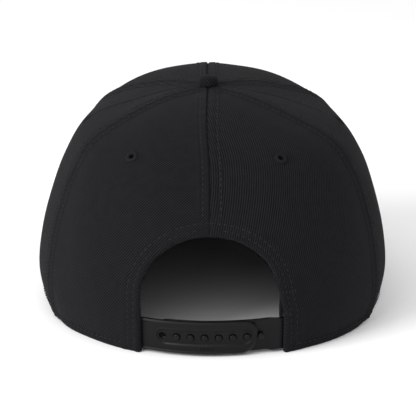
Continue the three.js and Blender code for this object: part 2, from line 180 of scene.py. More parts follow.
PANELS = (
    PanelPlan("front_right", FRONT_SEAM, SIDE_SEAM, 0.5, 0.69, -0.1 * MM, 0.25 * MM),
    PanelPlan("side_right", SIDE_SEAM, BACK_SEAM, 0.5, 0.75, 0.35 * MM, 0),
    PanelPlan("back_right", BACK_SEAM, CENTRE_SEAM, 0.58, 0.81, 0.5 * MM, -0.1 * MM, 1.0 * MM),
    PanelPlan("back_left", CENTRE_SEAM, BACK_SEAM_LEFT, 0.5, 0.81, 0.1 * MM, 0.5 * MM, 1.0 * MM),
    PanelPlan("side_left", BACK_SEAM_LEFT, SIDE_SEAM_LEFT, 0.5, 0.75, 0, 0.35 * MM),
    PanelPlan("front_left", SIDE_SEAM_LEFT, FULL_TURN, 0.5, 0.69, 0.25 * MM, 0.1 * MM),
)


# Numbers


def catmull_rom(table: np.ndarray, share: np.ndarray) -> np.ndarray:
    """Reads the rows of a table as one smooth curve.

    Args:
        table: One row for each evenly spaced share.
        share: Shares from 0 to 1, of any shape.

    Returns:
        The table's columns at each share, in a last axis of their own.
    """
    last = len(table) - 1
    place = np.clip(share, 0, 1) * last
    cell = np.minimum(np.floor(place).astype(int), last - 1)
    w = (place - cell)[..., None]
    before = table[np.maximum(cell - 1, 0)]
    start = table[cell]
    end = table[cell + 1]
    after = table[np.minimum(cell + 2, last)]
    leave = (end - before) / 2
    arrive = (after - start) / 2
    cubic = 2 * start - 2 * end + leave + arrive
    square = -3 * start + 3 * end - 2 * leave - arrive
    return cubic * w**3 + square * w**2 + leave * w + start


def smoothstep(value: np.ndarray, low: float, high: float) -> np.ndarray:
    """Rises smoothly from 0 at low to 1 at high.

    Args:
        value: Numbers of any shape.
        low: Where the rise starts.
        high: Where it ends.

    Returns:
        Shares from 0 to 1.
    """
    t = np.clip((value - low) / (high - low), 0, 1)
    return t * t * (3 - 2 * t)


def signed_power(value: np.ndarray, power: np.ndarray) -> np.ndarray:
    """Raises to a power and keeps the sign.

    Args:
        value: Numbers of any shape.
        power: The power for each.

    Returns:
        The powers.
    """
    return np.sign(value) * np.abs(value) ** power


def last_where(
    low: float, high: float, holds: Callable[[np.ndarray], np.ndarray], like: np.ndarray
) -> np.ndarray:
    """Halves a range until it closes in on where a test stops holding.

    Args:
        low: Start of the range, where the test holds.
        high: End of the range.
        holds: Says for each value whether the test holds.
        like: An array of the shape that the answer has.

    Returns:
        The last value at which the test holds, for each entry.
    """
    start = np.full(np.shape(like), float(low))
    end = np.full(np.shape(like), float(high))
    for _ in range(26):
        middle = (start + end) / 2
        ok = holds(middle)
        start = np.where(ok, middle, start)
        end = np.where(ok, end, middle)
    return start


def bell(distance: np.ndarray, centre: float, width: float) -> np.ndarray:
    """A smooth bump of height 1.

    Args:
        distance: Where to read it.
        centre: Where it is highest.
        width: Distance in which it falls to about a third.

    Returns:
        Its height at each distance.
    """
    return np.exp(-(((distance - centre) / width) ** 2))


def round_over(distance: np.ndarray, radius: float) -> np.ndarray:
    """Depth that a rounded edge takes off a face.

    Args:
        distance: How far from the edge.
        radius: Radius of the rounding.

    Returns:
        The depth: the radius at the edge and 0 beyond the radius.
    """
    t = np.clip(1 - distance / radius, 0, 1)
    return radius * (1 - np.sqrt(1 - t * t))


# Surfaces of the cap


class CrownShape:
    """Outside of the crown by bearing and level, placed in the frame.

    Args:
        crown: Sizes of the crown.
        visor: Sizes of the visor, whose camber the rim follows at the front.
        axis: Where the crown's axis stands in the frame.
    """

    def __init__(self, crown: CrownSizes, visor: VisorSizes, axis: np.ndarray) -> None:
        """Keeps the sizes and stands the visor's lowest point on the ground."""
        self.sizes = crown
        self.visor = visor
        self.axis = axis
        self.visor_half = crown.half_middle + visor.spread
        edge = self.visor_edge(np.linspace(-1, 1, 33))
        self.drop = float(np.min(self._camber(edge[:, 0], edge[:, 1])))

    def _camber(self, x: np.ndarray, y: np.ndarray) -> np.ndarray:
        """Height of the visor's underside before it is stood on the ground.

        Args:
            x: Distance to the right.
            y: Distance to the front.

        Returns:
            The heights.
        """
        across = x / self.visor_half
        slope = self.visor.slope * (self.sizes.front_reach - y)
        return self.visor.camber * (1 - across * across) + slope

    def underside(self, x: np.ndarray, y: np.ndarray) -> np.ndarray:
        """Height of the visor's underside at a place measured from the axis.

        Args:
            x: Distance to the right.
            y: Distance to the front.

        Returns:
            Height above the ground.
        """
        return self._camber(x, y) - self.drop

    def rim(self, x: np.ndarray, y: np.ndarray) -> np.ndarray:
        """Height of the crown's rim at a place measured from the axis.

        Args:
            x: Distance to the right.
            y: Distance to the front.

        Returns:
            Height above the ground.
        """
        low = -self.sizes.rim_flat_share * self.sizes.back_reach
        high = self.sizes.rim_lift_share * self.sizes.front_reach
        return self.underside(x, y) * smoothstep(y, low, high)

    def plan(self, bearing: np.ndarray, level: np.ndarray) -> tuple[np.ndarray, np.ndarray]:
        """Place of the outside in plan, measured from the axis.

        Args:
            bearing: Degrees from the front.
            level: Share of the way from the rim to the top.

        Returns:
            Distances to the right and to the front.
        """
        bearing, level = np.broadcast_arrays(np.asarray(bearing, float), np.asarray(level, float))
        sine = np.sin(np.radians(bearing))
        cosine = np.cos(np.radians(bearing))
        row = catmull_rom(LEVELS, level)
        right = sine > 0
        square = np.where(right, row[..., 7], row[..., 6])
        half = np.where(right, self.sizes.half_right, self.sizes.half_left)
        reach = np.where(cosine > 0, row[..., 0] * self.sizes.front_reach, row[..., 4] * self.sizes.back_reach)
        x = row[..., 8] * self.sizes.half_middle + row[..., 2] * half * signed_power(sine, square)
        return x, reach * signed_power(cosine, square)

    def point(self, bearing: np.ndarray, level: np.ndarray) -> np.ndarray:
        """Point on the outside, in the frame.

        Args:
            bearing: Degrees from the front.
            level: Share of the way from the rim to the top.

        Returns:
            Points, with the coordinates in the last axis.
        """
        bearing, level = np.broadcast_arrays(np.asarray(bearing, float), np.asarray(level, float))
        x, y = self.plan(bearing, level)
        row = catmull_rom(LEVELS, level)
        cosine = np.cos(np.radians(bearing))
        lengthwise = cosine * cosine
        end_up = np.where(cosine > 0, row[..., 1], row[..., 5])
        up = lengthwise * end_up + (1 - lengthwise) * row[..., 3]
        rim = self.rim(x, y)
        z = rim + up * (self.sizes.height - rim)
        return np.stack([x + self.axis[0], y + self.axis[1], z], axis=-1)

    def normal(self, bearing: np.ndarray, level: np.ndarray) -> np.ndarray:
        """Direction square to the outside.

        Args:
            bearing: Degrees from the front.
            level: Share of the way from the rim to the top.

        Returns:
            Unit vectors that point away from the head.
        """
        turn = 0.5
        rise = 0.004
        around = self.point(bearing + turn, level) - self.point(bearing - turn, level)
        low = np.clip(level - rise, 0, 1 - 2 * rise)
        upward = self.point(bearing, low + 2 * rise) - self.point(bearing, low)
        cross = np.cross(upward, around)
        return cross / np.linalg.norm(cross, axis=-1, keepdims=True)

    def layer(self, bearing: np.ndarray, level: np.ndarray, depth: np.ndarray) -> np.ndarray:
        """Point at a depth inside the outside. On the rim it keeps the rim's height.

        Args:
            bearing: Degrees from the front.
            level: Share of the way from the rim to the top.
            depth: Distance inwards, negative for outwards.

        Returns:
            Points, with the coordinates in the last axis.
        """
        bearing, level, depth = np.broadcast_arrays(
            np.asarray(bearing, float), np.asarray(level, float), np.asarray(depth, float)
        )
        outside = self.point(bearing, level)
        normal = self.normal(bearing, level)
        settle = smoothstep(level, 0, 0.012)
        normal[..., 2] = normal[..., 2] * settle
        return outside - normal * depth[..., None]

    def level_at(self, bearing: np.ndarray, height: np.ndarray) -> np.ndarray:
        """Level at which the outside reaches a height above its own rim.

        Args:
            bearing: Degrees from the front.
            height: Height above the rim.

        Returns:
            The levels.
        """
        bearing, height = np.broadcast_arrays(np.asarray(bearing, float), np.asarray(height, float))

        def below(level: np.ndarray) -> np.ndarray:
            """Whether the outside is lower than asked at a level."""
            x, y = self.plan(bearing, level)
            return self.point(bearing, level)[..., 2] - self.rim(x, y) < height

        return last_where(0, 1, below, bearing)

    def level_at_radius(self, bearing: np.ndarray, radius: float) -> np.ndarray:
        """Level at which the outside closes in to a radius round the button.

        Args:
            bearing: Degrees from the front.
            radius: Distance in plan from the crown's top.

        Returns:
            The levels.
        """
        bearing = np.asarray(bearing, float)
        top_x, top_y = self.plan(0, 1)

        def outside(level: np.ndarray) -> np.ndarray:
            """Whether the outside is still further out than the radius."""
            x, y = self.plan(bearing, level)
            return np.hypot(x - top_x, y - top_y) > radius

        return last_where(0.5, 1, outside, bearing)

    def bearing_at(self, x: np.ndarray, level: np.ndarray) -> np.ndarray:
        """Bearing on the back of the crown at which a level has a given x from the axis.

        Args:
            x: Distance to the right of the axis.
            level: Share of the way from the rim to the top.

        Returns:
            Bearings from 90 to 270.
        """
        x, level = np.broadcast_arrays(np.asarray(x, float), np.asarray(level, float))
        return last_where(90, 270, lambda bearing: self.plan(bearing, level)[0] > x, x)

    def on_back(self, x: np.ndarray, height: np.ndarray) -> tuple[np.ndarray, np.ndarray]:
        """Bearing and level of the place on the back with a given x from the axis and height.

        Args:
            x: Distance to the right of the axis.
            height: Height above the rim.

        Returns:
            Bearings and levels.
        """
        x, height = np.broadcast_arrays(np.asarray(x, float), np.asarray(height, float))
        bearing = np.full(x.shape, 180.0)
        level = self.level_at(bearing, height)
        for _ in range(5):
            bearing = self.bearing_at(x, level)
            level = self.level_at(bearing, height)
        return bearing, level

    def turn(self, distance: np.ndarray, bearing: np.ndarray, level: np.ndarray) -> np.ndarray:
        """Degrees of bearing that span a distance along the crown.

        Args:
            distance: The distance.
            bearing: Degrees from the front.
            level: Share of the way from the rim to the top.

        Returns:
            Degrees.
        """
        run = self.point(bearing + 0.5, level) - self.point(bearing - 0.5, level)
        return distance / np.linalg.norm(run, axis=-1)

    def visor_edge(self, share: np.ndarray) -> np.ndarray:
        """Outline of the visor, measured from the axis.

        Args:
            share: From -1 at the left temple to 1 at the right one.

        Returns:
            Points in plan, with the coordinates in the last axis.
        """
        share = np.asarray(share, float)
        result = np.zeros(share.shape + (2,))
        for side in (-1.0, 1.0):
            x, y = self.plan(side * self.visor.bearing, 0)
            first = [abs(float(x)) + self.visor.corner, float(y)]
            across = VISOR_OUTLINE[:, 0] * self.visor_half
            ahead = self.sizes.front_reach + VISOR_OUTLINE[:, 1] * self.visor.length
            table = np.vstack([first, np.stack([across, ahead], axis=1)])
            points = catmull_rom(table, 1 - np.abs(share)) * np.array([side, 1.0])
            chosen = share < 0 if side < 0 else share >= 0
            result[chosen] = points[chosen]
        return result


class ArchShape:
    """Outline of the arch in x and height, measured from the crown's axis.

    Args:
        sizes: Sizes of the arch.
    """

    def __init__(self, sizes: ArchSizes) -> None:
        """Keeps the sizes and works out both feet."""
        self.sizes = sizes
        self.left = sizes.shift - sizes.half_width
        self.right = sizes.shift + sizes.half_width

    def _flare(self, z: np.ndarray) -> np.ndarray:
        """How far the cloth is drawn back at the right foot, at each height."""
        s = self.sizes
        return s.flare * (1 - smoothstep(z, s.flare_low, s.flare_high))

    def path(self, offset: float, low: float, count: int, flared: bool = True) -> np.ndarray:
        """Points round the arch from the right foot over the top to the left foot.

        Args:
            offset: Distance outside the edge.
            low: Height at which both feet start.
            count: Number of points.
            flared: Whether the right foot is drawn back, as the outer cloth is.

        Returns:
            Evenly spaced rows of x and height.
        """
        s = self.sizes
        half = s.half_width + offset
        rise = s.top - s.spring + offset
        angle = np.linspace(0, math.pi, 121)
        foot = np.linspace(low, s.spring, 24)[:-1]
        right, left = np.full(foot.shape, half), np.full(foot.shape, -half)
        x = np.concatenate([right, half * np.cos(angle), left]) + s.shift
        z = np.concatenate([foot, s.spring + rise * np.sin(angle), foot[::-1]])
        if flared:
            x = x + np.where(x > 0, self._flare(z), 0)
        run = np.concatenate([[0], np.cumsum(np.hypot(np.diff(x), np.diff(z)))])
        at = np.linspace(0, run[-1], count)
        return np.stack([np.interp(at, run, x), np.interp(at, run, z)], axis=1)

    def distance(self, x: np.ndarray, z: np.ndarray) -> np.ndarray:
        """Distance from the edge: positive on the cloth and negative in the opening.

        Args:
            x: Distance to the right of the axis.
            z: Height.

        Returns:
            Signed distances.
        """
        s = self.sizes
        edge = self.path(0, -5 * MM, 260)
        flat = np.stack([np.ravel(x), np.ravel(z)], axis=1)
        near = np.min(np.linalg.norm(flat[:, None, :] - edge[None, :, :], axis=2), axis=1)
        u = (flat[:, 0] - s.shift - np.where(flat[:, 0] > 0, self._flare(flat[:, 1]), 0)) / s.half_width
        v = np.maximum(flat[:, 1] - s.spring, 0) / (s.top - s.spring)
        inside = u * u + v * v < 1
        return np.where(inside, -near, near).reshape(np.shape(x))


# Meshes


def mesh_object(
    name: str, vertices: np.ndarray, faces: Sequence[Sequence[int]], uv: np.ndarray | None = None
) -> Object:
    """Makes a smooth-shaded mesh object at the origin.

    Args:
        name: Name of the piece.
        vertices: Rows of coordinates in metres.
        faces: Corners of each face.
        uv: Place of each vertex on the flat cloth in metres, or none.

    Returns:
        The object, in the scene.
    """
    mesh = bpy.data.meshes.new(name)
    mesh.from_pydata(vertices.tolist(), [], [tuple(int(i) for i in face) for face in faces])
    if uv is not None:
        layer = mesh.uv_layers.new(name="Cloth")
        index = np.zeros(len(mesh.loops), np.int32)
        mesh.loops.foreach_get("vertex_index", index)
        layer.data.foreach_set("uv", uv[index].astype(np.float32).ravel())
    mesh.shade_smooth()
    mesh.validate()
    piece = bpy.data.objects.new(name, mesh)
    bpy.context.scene.collection.objects.link(piece)
    return piece


def grid_faces(columns: int, rows: int, start: int, wrap: bool = False) -> list[tuple[int, int, int, int]]:
    """Quads of a grid whose vertices are stored column by column.

    Args:
        columns: Number of columns.
        rows: Number of rows.
        start: Index of the first vertex.
        wrap: Whether the last column joins the first.

    Returns:
        The faces.
    """
    faces = []
    for i in range(columns if wrap else columns - 1):
        j_next = (i + 1) % columns
        for j in range(rows - 1):
            a = start + i * rows + j
            b = start + j_next * rows + j
            faces.append((a, b, b + 1, a + 1))
    return faces


def closed_sheet(name: str, outer: np.ndarray, inner: np.ndarray, uv: np.ndarray) -> Object:
    """A closed sheet of cloth or plastic between two faces on the same grid.

    Args:
        name: Name of the piece.
        outer: Points of the outer face, by column and row.
        inner: Points of the inner face, by column and row.
        uv: Place of each point on the flat cloth in metres, by column and row.

    Returns:
        The object, with its faces turned outwards.
    """
    columns, rows = outer.shape[:2]
    size = columns * rows
    vertices = np.concatenate([outer.reshape(-1, 3), inner.reshape(-1, 3)])
    faces = grid_faces(columns, rows, 0)
    faces += [face[::-1] for face in grid_faces(columns, rows, size)]
    for i in range(columns - 1):
        a, b = i * rows, (i + 1) * rows
        faces.append((a, a + size, b + size, b))
        a, b = a + rows - 1, b + rows - 1
        faces.append((b, b + size, a + size, a))
    last = (columns - 1) * rows
    for j in range(rows - 1):
        faces.append((j + 1, j + 1 + size, j + size, j))
        faces.append((last + j, last + j + size, last + j + 1 + size, last + j + 1))
    both = np.concatenate([uv.reshape(-1, 2), uv.reshape(-1, 2)])
    piece = mesh_object(name, vertices, faces, both)
    turn_outwards(piece)
    return piece


def turn_outwards(piece: Object) -> None:
    """Turns every face of a closed piece outwards.

    Args:
        piece: The piece.
    """
    mesh = piece.data
    mesh.calc_loop_triangles()
    corners = np.zeros(len(mesh.vertices) * 3)
    mesh.vertices.foreach_get("co", corners)
    corners = corners.reshape(-1, 3)
    index = np.zeros(len(mesh.loop_triangles) * 3, np.int32)
    mesh.loop_triangles.foreach_get("vertices", index)
    a, b, c = (corners[index.reshape(-1, 3)[:, k]] for k in range(3))
    if np.einsum("ij,ij->i", a, np.cross(b, c)).sum() < 0:
        mesh.flip_normals()


def revolved(
    name: str, profile: np.ndarray, sides: int, relief: Callable[[np.ndarray, int], np.ndarray]
) -> Object:
    """A closed shape turned round Z from a half profile.

    Args:
        name: Name of the piece.
        profile: Rows of radius and height, a closed loop or one that starts and ends on the axis.
        sides: Number of steps round.
        relief: Gives what to add to the radius at each angle, for the row with a given number.

    Returns:
        The object, round the origin.
    """
    angle = np.linspace(0, 2 * math.pi, sides, endpoint=False)
    rows = len(profile)
    points = np.zeros((sides, rows, 3))
    for j, (radius, height) in enumerate(profile):
        extra = relief(angle, j)
        points[:, j, 0] = (radius + extra) * np.cos(angle)
        points[:, j, 1] = (radius + extra) * np.sin(angle)
        points[:, j, 2] = height
    faces = grid_faces(sides, rows, 0, wrap=True)
    if profile[0][0] > 1e-6:
        for i in range(sides):
            j = (i + 1) % sides
            faces.append((i * rows + rows - 1, j * rows + rows - 1, j * rows, i * rows))
    uv = np.stack([np.repeat(angle * 4 * MM, rows), np.tile(np.linspace(0, 8 * MM, rows), sides)], axis=1)
    piece = mesh_object(name, points.reshape(-1, 3), faces, uv)
    weld(piece)
    turn_outwards(piece)
    return piece


def weld(piece: Object) -> None:
    """Merges vertices that lie on each other.

    Args:
        piece: The piece.
    """
    modifier = piece.modifiers.new("weld", "WELD")
    modifier.merge_threshold = 0.002 * MM
    bake(piece)


def bake(piece: Object) -> None:
    """Turns a piece with modifiers into a plain mesh.

    Args:
        piece: The piece.
    """
    graph = bpy.context.evaluated_depsgraph_get()
    mesh = bpy.data.meshes.new_from_object(piece.evaluated_get(graph))
    mesh.name = piece.name
    piece.modifiers.clear()
    old = piece.data
    piece.data = mesh
    bpy.data.meshes.remove(old)


def cut(piece: Object, cutters: Sequence[Object]) -> None:
    """Cuts closed shapes out of a piece and removes them.

    Args:
        piece: The piece.
        cutters: The shapes.
    """
    for cutter in cutters:
        modifier = piece.modifiers.new("cut", "BOOLEAN")
        modifier.operation = "DIFFERENCE"
        modifier.solver = "EXACT"
        modifier.object = cutter
    bake(piece)
    for cutter in cutters:
        mesh = cutter.data
        bpy.data.objects.remove(cutter)
        bpy.data.meshes.remove(mesh)


def place_on(piece: Object, place: np.ndarray, direction: np.ndarray) -> None:
    """Stands a shape made along Z on a place, and leaves its object at the origin.

    Args:
        piece: The piece.
        place: Where its origin goes.
        direction: Where its Z goes.
    """
    turned = Vector(direction).to_track_quat("Z", "Y").to_matrix().to_4x4()
    turned.translation = Vector(place)
    piece.data.transform(turned)


def joined(name: str, pieces: Sequence[Object]) -> Object:
    """Makes one object of several meshes.

    Args:
        name: Name of the result.
        pieces: The objects, which are used up.

    Returns:
        The joined object.
    """
    with bpy.context.temp_override(
        active_object=pieces[0],
        object=pieces[0],
        selected_objects=list(pieces),
        selected_editable_objects=list(pieces),
    ):
        bpy.ops.object.join()
    pieces[0].name = name
    pieces[0].data.name = name
    return pieces[0]


def drill(place: np.ndarray, direction: np.ndarray, radius: float, reach: float) -> Object:
    """A round cutter through a place.

    Args:
        place: A point on its axis.
        direction: Direction of its axis.
        radius: Its radius.
        reach: How far it goes each way.

    Returns:
        The cutter.
    """
    profile = np.array([[0, -reach], [radius, -reach], [radius, reach], [0, reach]])
    piece = revolved("drill", profile, 28, lambda angle, row: 0 * angle)
    place_on(piece, place, direction)
    return piece


# Materials


def linear(colour: str) -> tuple[float, float, float, float]:
    """Turns an sRGB colour into a linear one.

    Args:
        colour: Hex digits, with a leading hash sign.

    Returns:
        Red, green, blue and alpha.
    """
    values = [int(colour[i : i + 2], 16) / 255 for i in (1, 3, 5)]
    red, green, blue = (v / 12.92 if v <= 0.04045 else ((v + 0.055) / 1.055) ** 2.4 for v in values)
    return red, green, blue, 1.0


def add_node(tree: NodeTree, kind: str, inputs: dict | None = None, **settings: object) -> Node:
    """Adds a node to a tree.

    Args:
        tree: The tree.
        kind: Type of the node.
        inputs: Value or output socket for each input, by name or number.
        settings: Properties of the node.

    Returns:
        The node.
    """
    node = tree.nodes.new(kind)
    for key, value in settings.items():
        setattr(node, key, value)
    for key, value in (inputs or {}).items():
        if isinstance(value, NodeSocket):
            tree.links.new(value, node.inputs[key])
        else:
            node.inputs[key].default_value = value
    return node


def math_node(tree: NodeTree, operation: str, first: object, second: object = 0.0) -> NodeSocket:
    """Adds a math node.

    Args:
        tree: The tree.
        operation: What it does.
        first: First value or socket.
        second: Second value or socket.

    Returns:
        Its output.
    """
    return add_node(tree, "ShaderNodeMath", {0: first, 1: second}, operation=operation).outputs[0]


def add_share(tree: NodeTree, first: NodeSocket, second: NodeSocket, share: float) -> NodeSocket:
    """Adds a share of one pattern to another.

    Args:
        tree: The tree.
        first: The pattern that is taken whole.
        second: The pattern that is taken in part.
        share: How much of it.

    Returns:
        The sum.
    """
    return math_node(tree, "ADD", first, math_node(tree, "MULTIPLY", second, share))


def noise(tree: NodeTree, places: NodeSocket, size: float, detail: float, roughness: float = 0.5) -> NodeSocket:
    """Adds an uneven pattern.

    Args:
        tree: The tree.
        places: Where it is read.
        size: Size of its patches.
        detail: How many finer layers it has.
        roughness: How strong these are.

    Returns:
        Its strength.
    """
    inputs = {"Vector": places, "Scale": 1 / size, "Detail": detail, "Roughness": roughness}
    return add_node(tree, "ShaderNodeTexNoise", inputs).outputs[0]


def two_tone(tree: NodeTree, factor: NodeSocket, dark: str, light: str) -> NodeSocket:
    """Mixes two colours.

    Args:
        tree: The tree.
        factor: Share of the light one.
        dark: The dark one, in hex.
        light: The light one, in hex.

    Returns:
        The mix.
    """
    inputs = {"Factor": factor, "A": linear(dark), "B": linear(light)}
    return add_node(tree, "ShaderNodeMix", inputs, data_type="RGBA").outputs["Result"]


def empty_tree(owner: Material | World) -> NodeTree:
    """Turns on the nodes of a material or a world, and clears them.

    Args:
        owner: The material or the world.

    Returns:
        Its tree.
    """
    owner.use_nodes = True
    owner.node_tree.nodes.clear()
    return owner.node_tree


def end_material(tree: NodeTree, kind: str, inputs: dict) -> None:
    """Adds the shader of a material and its output.

    Args:
        tree: The tree.
        kind: Type of the shader.
        inputs: The shader's inputs.
    """
    shader = add_node(tree, kind, inputs)
    add_node(tree, "ShaderNodeOutputMaterial", {"Surface": shader.outputs[0]})


class Weave(Enum):
    """How a cloth is woven. The value is the share of its cross threads in the pattern."""

    TWILL = 0.3
    PLAIN = 1.0


# Wave textures repeat once in this many of their own units, divided by their scale
WAVE_UNIT = 2 * math.pi / 20


@dataclass(frozen=True)
class Cloth:
    """A woven cloth. Its pattern follows the layer of places on the flat cloth."""

    name: str
    dark: str
    light: str
    weave: Weave
    pitch: float
    lean: float
    depth: float
    fuzz_size: float = 0.45 * MM
    slub_size: float = 5 * MM
    roughness: float = 0.95
    specular: float = 0.05
    sheen: float = 0.02

    def material(self) -> Material:
        """Makes the material.

        Returns:
            The material.
        """
        material = bpy.data.materials.new(self.name)
        tree = empty_tree(material)
        places = add_node(tree, "ShaderNodeUVMap", uv_map="Cloth").outputs[0]
        ribs = self._wave(tree, places, self.lean, self.pitch, 1.6)
        cross = self._wave(tree, places, self.lean + 90, self.pitch * 0.8, 1.2)
        fuzz = noise(tree, places, self.fuzz_size, 3.0, 0.6)
        slub = noise(tree, places, self.slub_size, 2.0)
        woven = add_share(tree, ribs, cross, self.weave.value)
        height = add_share(tree, woven, fuzz, 1.3)
        bump = add_node(tree, "ShaderNodeBump", {"Height": height, "Distance": self.depth, "Strength": 0.75})
        tone = add_share(tree, math_node(tree, "MULTIPLY", woven, 0.8), slub, 0.3)
        tone = add_share(tree, tone, fuzz, 0.25)
        ramp = add_node(tree, "ShaderNodeMapRange", {"Value": tone, "From Min": 0.35, "From Max": 1.25})
        look = {
            "Base Color": two_tone(tree, ramp.outputs[0], self.dark, self.light),
            "Roughness": self.roughness,
            "Specular IOR Level": self.specular,
            "Sheen Weight": self.sheen,
            "Sheen Roughness": 0.5,
            "Normal": bump.outputs[0],
        }
        end_material(tree, "ShaderNodeBsdfPrincipled", look)
        return material

    def _wave(self, tree: NodeTree, places: NodeSocket, lean: float, pitch: float, waver: float) -> NodeSocket:
        """Adds one set of threads.

        Args:
            tree: The tree.
            places: Where it is read.
            lean: Degrees that the threads are turned by.
            pitch: Distance from thread to thread.
            waver: How uneven they are.

        Returns:
            Height of the threads.
        """
        turn = {"Vector": places, "Rotation": (0.0, 0.0, math.radians(lean))}
        threads = {
            "Vector": add_node(tree, "ShaderNodeMapping", turn).outputs[0],
            "Scale": WAVE_UNIT / pitch,
            "Distortion": waver,
            "Detail": 2.0,
            "Detail Scale": 0.6,
            "Detail Roughness": 0.6,
        }
        return add_node(tree, "ShaderNodeTexWave", threads).outputs[1]


@dataclass(frozen=True)
class Moulded:
    """A plain moulded or spun surface, such as plastic or thread."""

    name: str
    dark: str
    light: str
    roughness: float
    specular: float
    grain: float
    grain_depth: float
    smear_size: float = 12 * MM

    def material(self) -> Material:
        """Makes the material.

        Returns:
            The material.
        """
        material = bpy.data.materials.new(self.name)
        tree = empty_tree(material)
        places = add_node(tree, "ShaderNodeTexCoord").outputs["Object"]
        grain = noise(tree, places, self.grain, 3.0)
        smear = noise(tree, places, self.smear_size, 3.0)
        bump = add_node(tree, "ShaderNodeBump", {"Height": grain, "Distance": self.grain_depth, "Strength": 0.5})
        spread = {"Value": smear, "To Min": self.roughness - 0.06, "To Max": self.roughness + 0.08}
        look = {
            "Base Color": two_tone(tree, smear, self.dark, self.light),
            "Roughness": add_node(tree, "ShaderNodeMapRange", spread).outputs[0],
            "Specular IOR Level": self.specular,
            "Normal": bump.outputs[0],
        }
        end_material(tree, "ShaderNodeBsdfPrincipled", look)
        return material


class Wardrobe:
    """All materials of the cap, each made once."""

    def __init__(self) -> None:
        """Makes the materials."""
        black, worn_black = "#08080a", "#1f1f22"
        # Brushed twill of the panels and the visor
        self.twill = Cloth("wool_twill", black, worn_black, Weave.TWILL, 1.12 * MM, -38, 0.2 * MM).material()
        # The same twill cut the other way for the panels on the right
        turned = Cloth("wool_twill_right", black, worn_black, Weave.TWILL, 1.08 * MM, -20, 0.2 * MM)
        self.twill_right = turned.material()
        # Plain cotton of the sweatband and the tapes
        self.cotton = Cloth("cotton_tape", "#29292b", "#3a3a3d", Weave.PLAIN, 0.6 * MM, 0, 0.08 * MM).material()
        # Plain cotton of the facing round the arch, coloured dark as painted shade for the shadowed strip inside
        # the arch's edge
        self.lining = Cloth("cotton_facing_painted_shade", "#09090a", "#161618", Weave.PLAIN, 0.7 * MM, 0, 0.08 * MM).material()
        # Spun polyester sewing thread
        self.thread = Moulded("sewing_thread", "#1a1a1d", "#27272a", 0.6, 0.1, 0.3 * MM, 0.05 * MM).material()
        # Matt embroidery thread of the eyelets
        self.satin = Moulded("embroidery_thread", "#131315", "#1c1c1f", 0.7, 0.06, 0.3 * MM, 0.05 * MM).material()
        # Satin polypropylene of the snap strap
        plastic = Moulded("satin_polypropylene", "#0a0b0b", "#0e0f10", 0.38, 0.14, 0.5 * MM, 0.015 * MM)
        self.plastic = plastic.material()


def dress(piece: Object, material: Material, nodes: Sequence[str] = ()) -> Object:
    """Gives a piece its material and its body, and hides the CAD nodes that it stands for.

    Args:
        piece: The piece.
        material: Its material.
        nodes: CAD nodes that it replaces.

    Returns:
        The piece.
    """
    piece.data.materials.clear()
    piece.data.materials.append(material)
    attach(piece, ROOT)
    if nodes:
        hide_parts(*nodes)
    log.info("%s: %d faces", piece.name, len(piece.data.polygons))
    return piece


# Stitches


@dataclass(frozen=True)
class StitchSizes:
    """Sizes of one kind of stitch. A stitch's own size varies between the least and the most share."""

    pitch: float = 3.0 * MM
    length: float = 2.3 * MM
    radius: float = 0.27 * MM
    least: tuple[float, float, float] = (0.86, 0.9, 0.9)
    most: tuple[float, float, float] = (1.05, 1.1, 1.1)
    seed: int = 7


